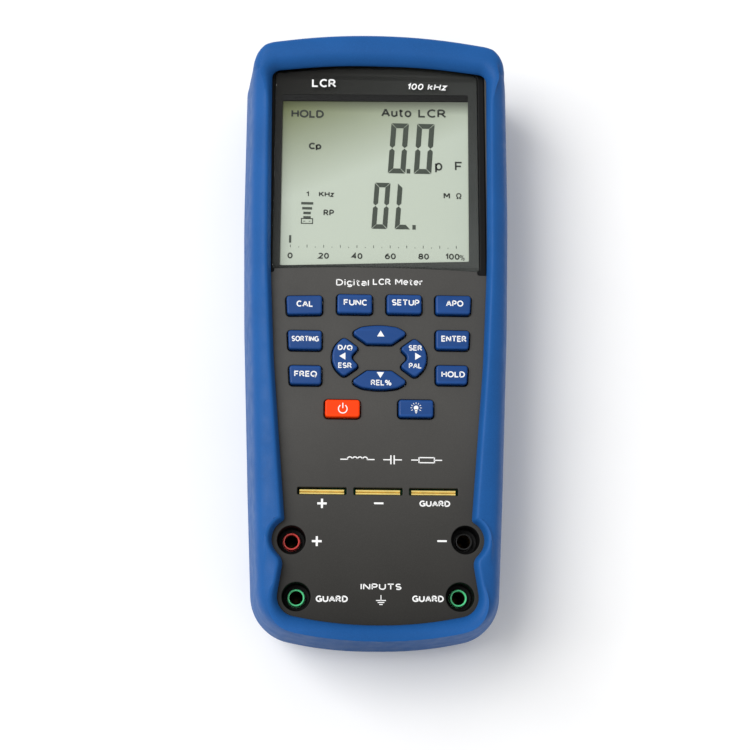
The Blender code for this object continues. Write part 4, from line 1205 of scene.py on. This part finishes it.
def build_contacts(finish):
    """Two brass leaves in each slot, their lips rolled outwards to guide a component's legs in."""
    for name, box in SLOTS.items():
        x, y, _ = middle(box)
        half = (box[1].x - box[0].x) / 2
        top = box[1].z
        near = [(-0.28, LEAF_FOOT), (-0.28, top - 1.0), (-0.34, top - 0.4), (-0.5, top - 0.12)]
        near += [(-0.72, top), (-0.9, top - 0.08), (-1.0, top - 0.3)]
        far = [(-0.2, LEAF_FOOT), (-0.2, top - 1.0), (-0.12, top - 0.42), (0.08, top - 0.16)]
        far += [(0.32, top - 0.1), (0.5, top - 0.2), (0.58, top - 0.5)]
        for side, line in (("near", near), ("far", far)):
            rings = []
            for end in (-half, half):
                front = [(x + end, y + a, level) for a, level in line]
                back = [(x + end, y + a * 0.97, level - 0.16) for a, level in reversed(line)]
                rings.append(front + back)
            count = len(rings[0])
            faces = [(i, (i + 1) % count, count + (i + 1) % count, count + i) for i in range(count)]
            for base in (0, count):
                for i in range(len(line) - 1):
                    faces.append((base + i, base + i + 1, base + count - 2 - i, base + count - 1 - i))
            leaf = bpy.data.meshes.new("slot_leaf")
            leaf.from_pydata([Vector(corner) * MM for ring in rings for corner in ring], [], faces)
            obj = place_object("slot_leaf_%s_%s" % (name, side), leaf)
            smooth(obj, 60.0)
            stands_for = ("slot_contact_" + name,) if side == "near" else ()
            piece(obj, METER, finish, stands_for)


def build_sockets(finishes, brass):
    """Thin coloured ring of each sleeve, round a brass bore darkened by painted shade."""
    for name, box in SOCKETS.items():
        x, y = socket_place(name)
        top = box[1].z
        sleeve = [(2.06, top - 0.4), (2.1, top - 0.12), (2.2, top), (2.46, top), (2.58, top - 0.12)]
        sleeve += [(2.62, top - 0.4), (2.62, 28.6), (3.8, 28.6), (3.8, 27.8), (2.62, 27.8), (2.62, 16.0)]
        sleeve += [(2.35, 16.0), (2.35, top - 1.3), (2.06, top - 1.3)]
        tube = turned("socket_ring_" + name, sleeve, x, y)
        piece(tube, METER, finishes[name], ("jack_sleeve_" + name,))
        barrel = [(2.0, top - 1.5), (2.1, top - 1.4), (2.25, top - 1.4), (2.3, top - 1.6)]
        barrel += [(2.3, 13.0), (0.02, 13.0), (0.02, 15.0), (1.6, 15.2), (2.0, 15.8)]
        # The bore's dark brass is painted shade of the deep socket.
        bush = turned("socket_bush_" + name, barrel, x, y)
        piece(bush, METER, brass, ("jack_barrel_" + name,))


# Finishes for the CAD nodes that stay


def dress(finish, *nodes):
    for name in nodes:
        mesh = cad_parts[name].data
        mesh.materials.clear()
        mesh.materials.append(finish)
        smooth(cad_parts[name], 30.0)


def dress_hidden_parts(steel):
    """Plain finishes for what lies inside or behind, and for every screw."""
    dark = moulded("rear_case_plastic", (0.030, 0.030, 0.031), 0.55, 0.4, 0.03)
    dress(dark, "rear_case", "battery_cover")
    dress(moulded("stand_plastic", (0.026, 0.026, 0.028), 0.42, 0.25, 0.015), "tilt_stand")
    dress(foam("gasket_foam", (0.03, 0.03, 0.03)), "lens_gasket")
    dress(moulded("lcd_frame_plastic", (0.45, 0.45, 0.43), 0.4), "lcd_frame")
    dress(moulded("backlight_acrylic", (0.8, 0.83, 0.78), 0.25, 0.8, 0.03), "backlight_panel")
    dress(moulded("zebra_rubber", (0.6, 0.2, 0.24), 0.6), "zebra_strip_upper", "zebra_strip_lower")
    dress(laminate(), "main_board")
    dress(moulded("keypad_silicone", (0.6, 0.6, 0.57), 0.6, 0.3, 0.01), "keypad_mat")
    dress(moulded("chip_epoxy", (0.02, 0.02, 0.02), 0.45, 0.15, 0.01), "processor_chip", "analog_chip")
    dress(metal("crystal_steel", (0.62, 0.62, 0.6), 0.22), "crystal_can")
    dress(moulded("buzzer_plastic", (0.02, 0.02, 0.02), 0.35), "buzzer")
    dress(metal("battery_steel", (0.12, 0.12, 0.14), 0.35), "battery_9v")
    dress(moulded("snap_vinyl", (0.02, 0.02, 0.02), 0.5), "battery_snap")
    dress(moulded("lead_red", (0.45, 0.015, 0.012), 0.4), "battery_lead_red")
    dress(moulded("lead_black", (0.015, 0.015, 0.015), 0.4), "battery_lead_black")
    screws = [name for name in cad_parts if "_screw_" in name]
    dress(steel, *screws)


# Stage


def soft_light(name, place, size, power):
    light = bpy.data.lights.new(name, "AREA")
    light.shape = "RECTANGLE"
    light.size, light.size_y = size
    light.energy = power
    lamp = place_object(name, light)
    lamp.location = place
    lamp.rotation_euler = (-Vector(place)).to_track_quat("-Z", "Y").to_euler()


def build_stage():
    """Pale floor, soft daylight from the upper left, and an even fill from all round."""
    bpy.ops.mesh.primitive_plane_add(size=6.0, location=(0.0, 0.0, cad_bounds[0].z - 0.0002))
    floor = bpy.context.object
    floor.name = "floor"
    floor.data.materials.append(pale_floor())
    world = bpy.data.worlds.new("studio")
    bpy.context.scene.world = world
    world.use_nodes = True
    sky = world.node_tree.nodes["Background"]
    sky.inputs["Color"].default_value = (1.0, 1.0, 1.0, 1.0)
    sky.inputs["Strength"].default_value = 0.56
    soft_light("key_light", (-1.15, 0.36, 1.72), (1.4, 1.4), 36.0)
    bpy.context.scene.view_settings.view_transform = "Standard"


def build_camera():
    """The camera stands over the socket end and looks down at the face, tilted about 13 degrees."""
    data = bpy.data.cameras.new("camera")
    data.sensor_width = 36.0
    data.lens = 68.5
    data.clip_start = 0.01
    camera = place_object("camera", data)
    centre = (cad_bounds[0] + cad_bounds[1]) / 2
    camera.location = centre + Vector((-22.4, -116.5, 452.3)) * MM
    camera.rotation_euler = (math.radians(13.124), math.radians(-2.837), math.radians(0.191))
    bpy.context.scene.camera = camera


brass = metal("contact_brass", (0.98, 0.76, 0.24), 0.4, 0.35)
# Brass darkened as painted shade, for the bores deep inside the sockets.
painted_shade_bore_brass = metal("painted_shade_bore_brass", (0.12, 0.08, 0.03), 0.4)
black = moulded("well_plastic", (0.003, 0.003, 0.003), 0.5, 0.3, 0.01, edge_highlight=0.1, shine=0.2)
white = ink("white_ink")
# Painted shade: the boot darkens over its last few millimetres at the socket end.
boot_painted_shade = ((0.0, BOOT_LOW.y + 6.0), (0.0, BOOT_LOW.y + 1.0))
build_boot(moulded("boot_rubber", BOOT_BLUE, 0.5, 0.3, 0.02, 0.06, 0.2, 0.16, boot_painted_shade, 0.3))
# Painted shade: the panel darkens from its middle towards the socket end.
panel_painted_shade = ((0.0, -25.0), (0.0, CASE_LOW.y + 3.0))
build_front(moulded("front_case_plastic", PANEL_GREY, 0.5, 0.3, 0.02, 0.05, 0.0, 0.4, panel_painted_shade), black)
build_display(clear_window(), black_print(), black, lcd_face())
build_readout(ink("lcd_grey", (0.040, 0.052, 0.038)), ink("lcd_dark", (0.016, 0.020, 0.014)))
blue_key = moulded("key_plastic_blue", KEY_BLUE, 0.42, 0.2, 0.01, 0.06, 0.3, 0.3)
orange_key = moulded("key_plastic_orange", KEY_ORANGE, 0.45, 0.2, 0.01, 0.05, 0.2, 0.16)
build_keys(blue_key, orange_key)
build_key_legends(white)
build_panel_legends(white)
build_contacts(brass)
green = moulded("jack_plastic_green", (0.12, 0.90, 0.34), 0.3, 0.3, 0.01)
socket_finishes = {
    "plus": moulded("jack_plastic_red", (1.0, 0.08, 0.07), 0.3, 0.3, 0.01),
    "minus": moulded("jack_plastic_black", (0.02, 0.02, 0.02), 0.3, 0.3, 0.01),
    "guard_left": green,
    "guard_right": green,
}
build_sockets(socket_finishes, painted_shade_bore_brass)
dress_hidden_parts(metal("screw_steel", (0.5, 0.5, 0.51), 0.3))
build_stage()
build_camera()
